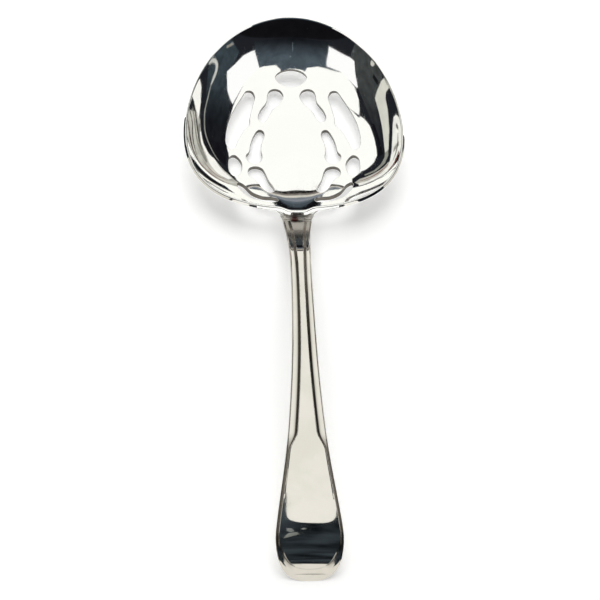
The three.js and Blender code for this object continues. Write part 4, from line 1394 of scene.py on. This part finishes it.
# %% Nested ovals beyond the table
PANELS += [
    ("far_ring_1", "1e1c1b", -0.1, 0.2, oval(4.5, 84, 7.4, 9.8)),
    ("far_ring_2", "77706b", -0.3, 0.2, oval(4.5, 84, 6.2, 7.9)),
    ("far_ring_3", "d3cfc4", -0.5, 0.1, oval(4.6, 84, 4.9, 6.8)),
    ("far_ring_4", "737a81", -0.7, 0.15, oval(4.7, 84, 3.8, 5.6)),
    ("far_ring_5", "848990", -0.9, 0.15, oval(4.6, 84, 3.2, 4.6)),
    ("far_ring_6", "59626a", -1.0, 0.15, oval(4.6, 84, 2.7, 3.6)),
    ("far_ring_7", "464f56", -1.1, 0.15, oval(4.6, 84, 2.4, 2.8)),
    ("far_ring_8", "0e0f12", -1.2, 0.0, oval(4.5, 84.3, 3.0, 1.9)),
    ("far_low", "3d4449", -1.3, 0.1, [(-12, 86), (22, 86), (22, 91), (-12, 91)]),
]
for panel in PANELS:
    dome_panel(*panel)
print("panels:", len(PANELS))

# %% [markdown]
# Two more sheets hang close over the end of the handle. The dark one has a rounded notch, and the
# cream one shows through it. The handle's end mirrors that notch as the bright patch between its
# shoulders and its turned-down tip. Three small marks hang just under the dark sheet. Only the
# metal sees these five.

# %% Sheets over the handle's end
SHEET_GRAIN = 28.0
NEAR_SHEETS = [
    ("near_dark", "2b3238", 0.150, 0.9, [
        (-50, -72), (-9.5, -76), (-10.2, -88), (-9.3, -97), (-7, -102), (-3, -106), (2, -108.6),
        (8, -110), (15, -110.4), (20, -109.8), (24, -107.6), (27.5, -103), (29.6, -96), (30.4, -84),
        (80, -80), (180, -345), (60, -372), (45, -385), (32, -394), (22, -396), (12, -392), (0, -380),
        (-18, -356), (-40, -338), (-150, -325)]),
    ("near_cream", "fffffb", 0.151, 0.01, [(-60, -66), (80, -66), (80, -116), (-60, -116)]),
    ("near_mark_1", "8e9494", 0.149, 0.8, [(-9, -124), (-5, -126), (-3, -137), (-6, -140), (-9, -134)]),
    ("near_mark_2", "8e9391", 0.149, 0.8, [
        (-7, -143), (-1, -140), (1, -150), (-5, -158), (-10, -165), (-9, -152)]),
    ("near_mark_3", "9aa0a0", 0.149, 0.2, oval(4, -128, 1.6, 3.5, 10)),
]
for name, colour, height, uneven, corners in NEAR_SHEETS:
    points = [(x * MM, y * MM, height) for x, y in corners]
    sheet = plain_mesh(name, points, [range(len(corners))], glowing(name, colour, uneven, SHEET_GRAIN))
    for ray in ("camera", "diffuse", "shadow", "transmission", "volume_scatter"):
        setattr(sheet, "visible_" + ray, False)
print("sheets:", len(NEAR_SHEETS))

# %% [markdown]
# The camera looks down at the table at 57 degrees from the side of the handle, slightly turned and
# tilted. A long lens at some distance keeps the whole spoon sharp and its proportions true.

# %% Camera
TURN, LOOK_DOWN, ROLL = math.radians(-5.93), math.radians(57.0), math.radians(-4.80)
TARGET = Vector((-0.147, -11.912, 7.937)) * MM
DISTANCE = 0.60521
FOCAL_PIXELS, FRAME_PIXELS = 1729.5, 600
FILM_WIDTH = 36
back = Vector((math.sin(TURN) * math.cos(LOOK_DOWN), -math.cos(TURN) * math.cos(LOOK_DOWN),
               math.sin(LOOK_DOWN)))
level = Vector((0, 0, 1)).cross(back).normalized()
upward = back.cross(level)
across = level * math.cos(ROLL) - upward * math.sin(ROLL)
upright = level * math.sin(ROLL) + upward * math.cos(ROLL)
camera = bpy.data.objects.new("camera", bpy.data.cameras.new("camera"))
bpy.context.scene.collection.objects.link(camera)
camera.data.sensor_fit = "HORIZONTAL"
camera.data.sensor_width = FILM_WIDTH
camera.data.lens = FOCAL_PIXELS / FRAME_PIXELS * FILM_WIDTH
turned = Matrix((across, upright, back)).transposed().to_4x4()
camera.matrix_world = Matrix.Translation(TARGET + DISTANCE * back) @ turned
bpy.context.scene.camera = camera
bpy.context.scene.view_settings.view_transform = "Standard"
print("camera:", DISTANCE, "m away, lens", round(camera.data.lens, 1), "mm")

# %% [markdown]
# The four detailed pieces take the place of the three plain ones. Nothing on a spoon moves, so all
# of them ride on its one body.

# %% Put everything in place
for piece, nodes, slot in ((bowl, ["bowl"], "polished_silver"), (heel, ["bowl"], "polished_silver"),
                           (handle, ["handle"], "polished_silver"), (seam, ["solder_seam"], "silver_solder")):
    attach(piece, "root")
    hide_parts(*nodes)
    print(piece.name, "stands for", nodes)
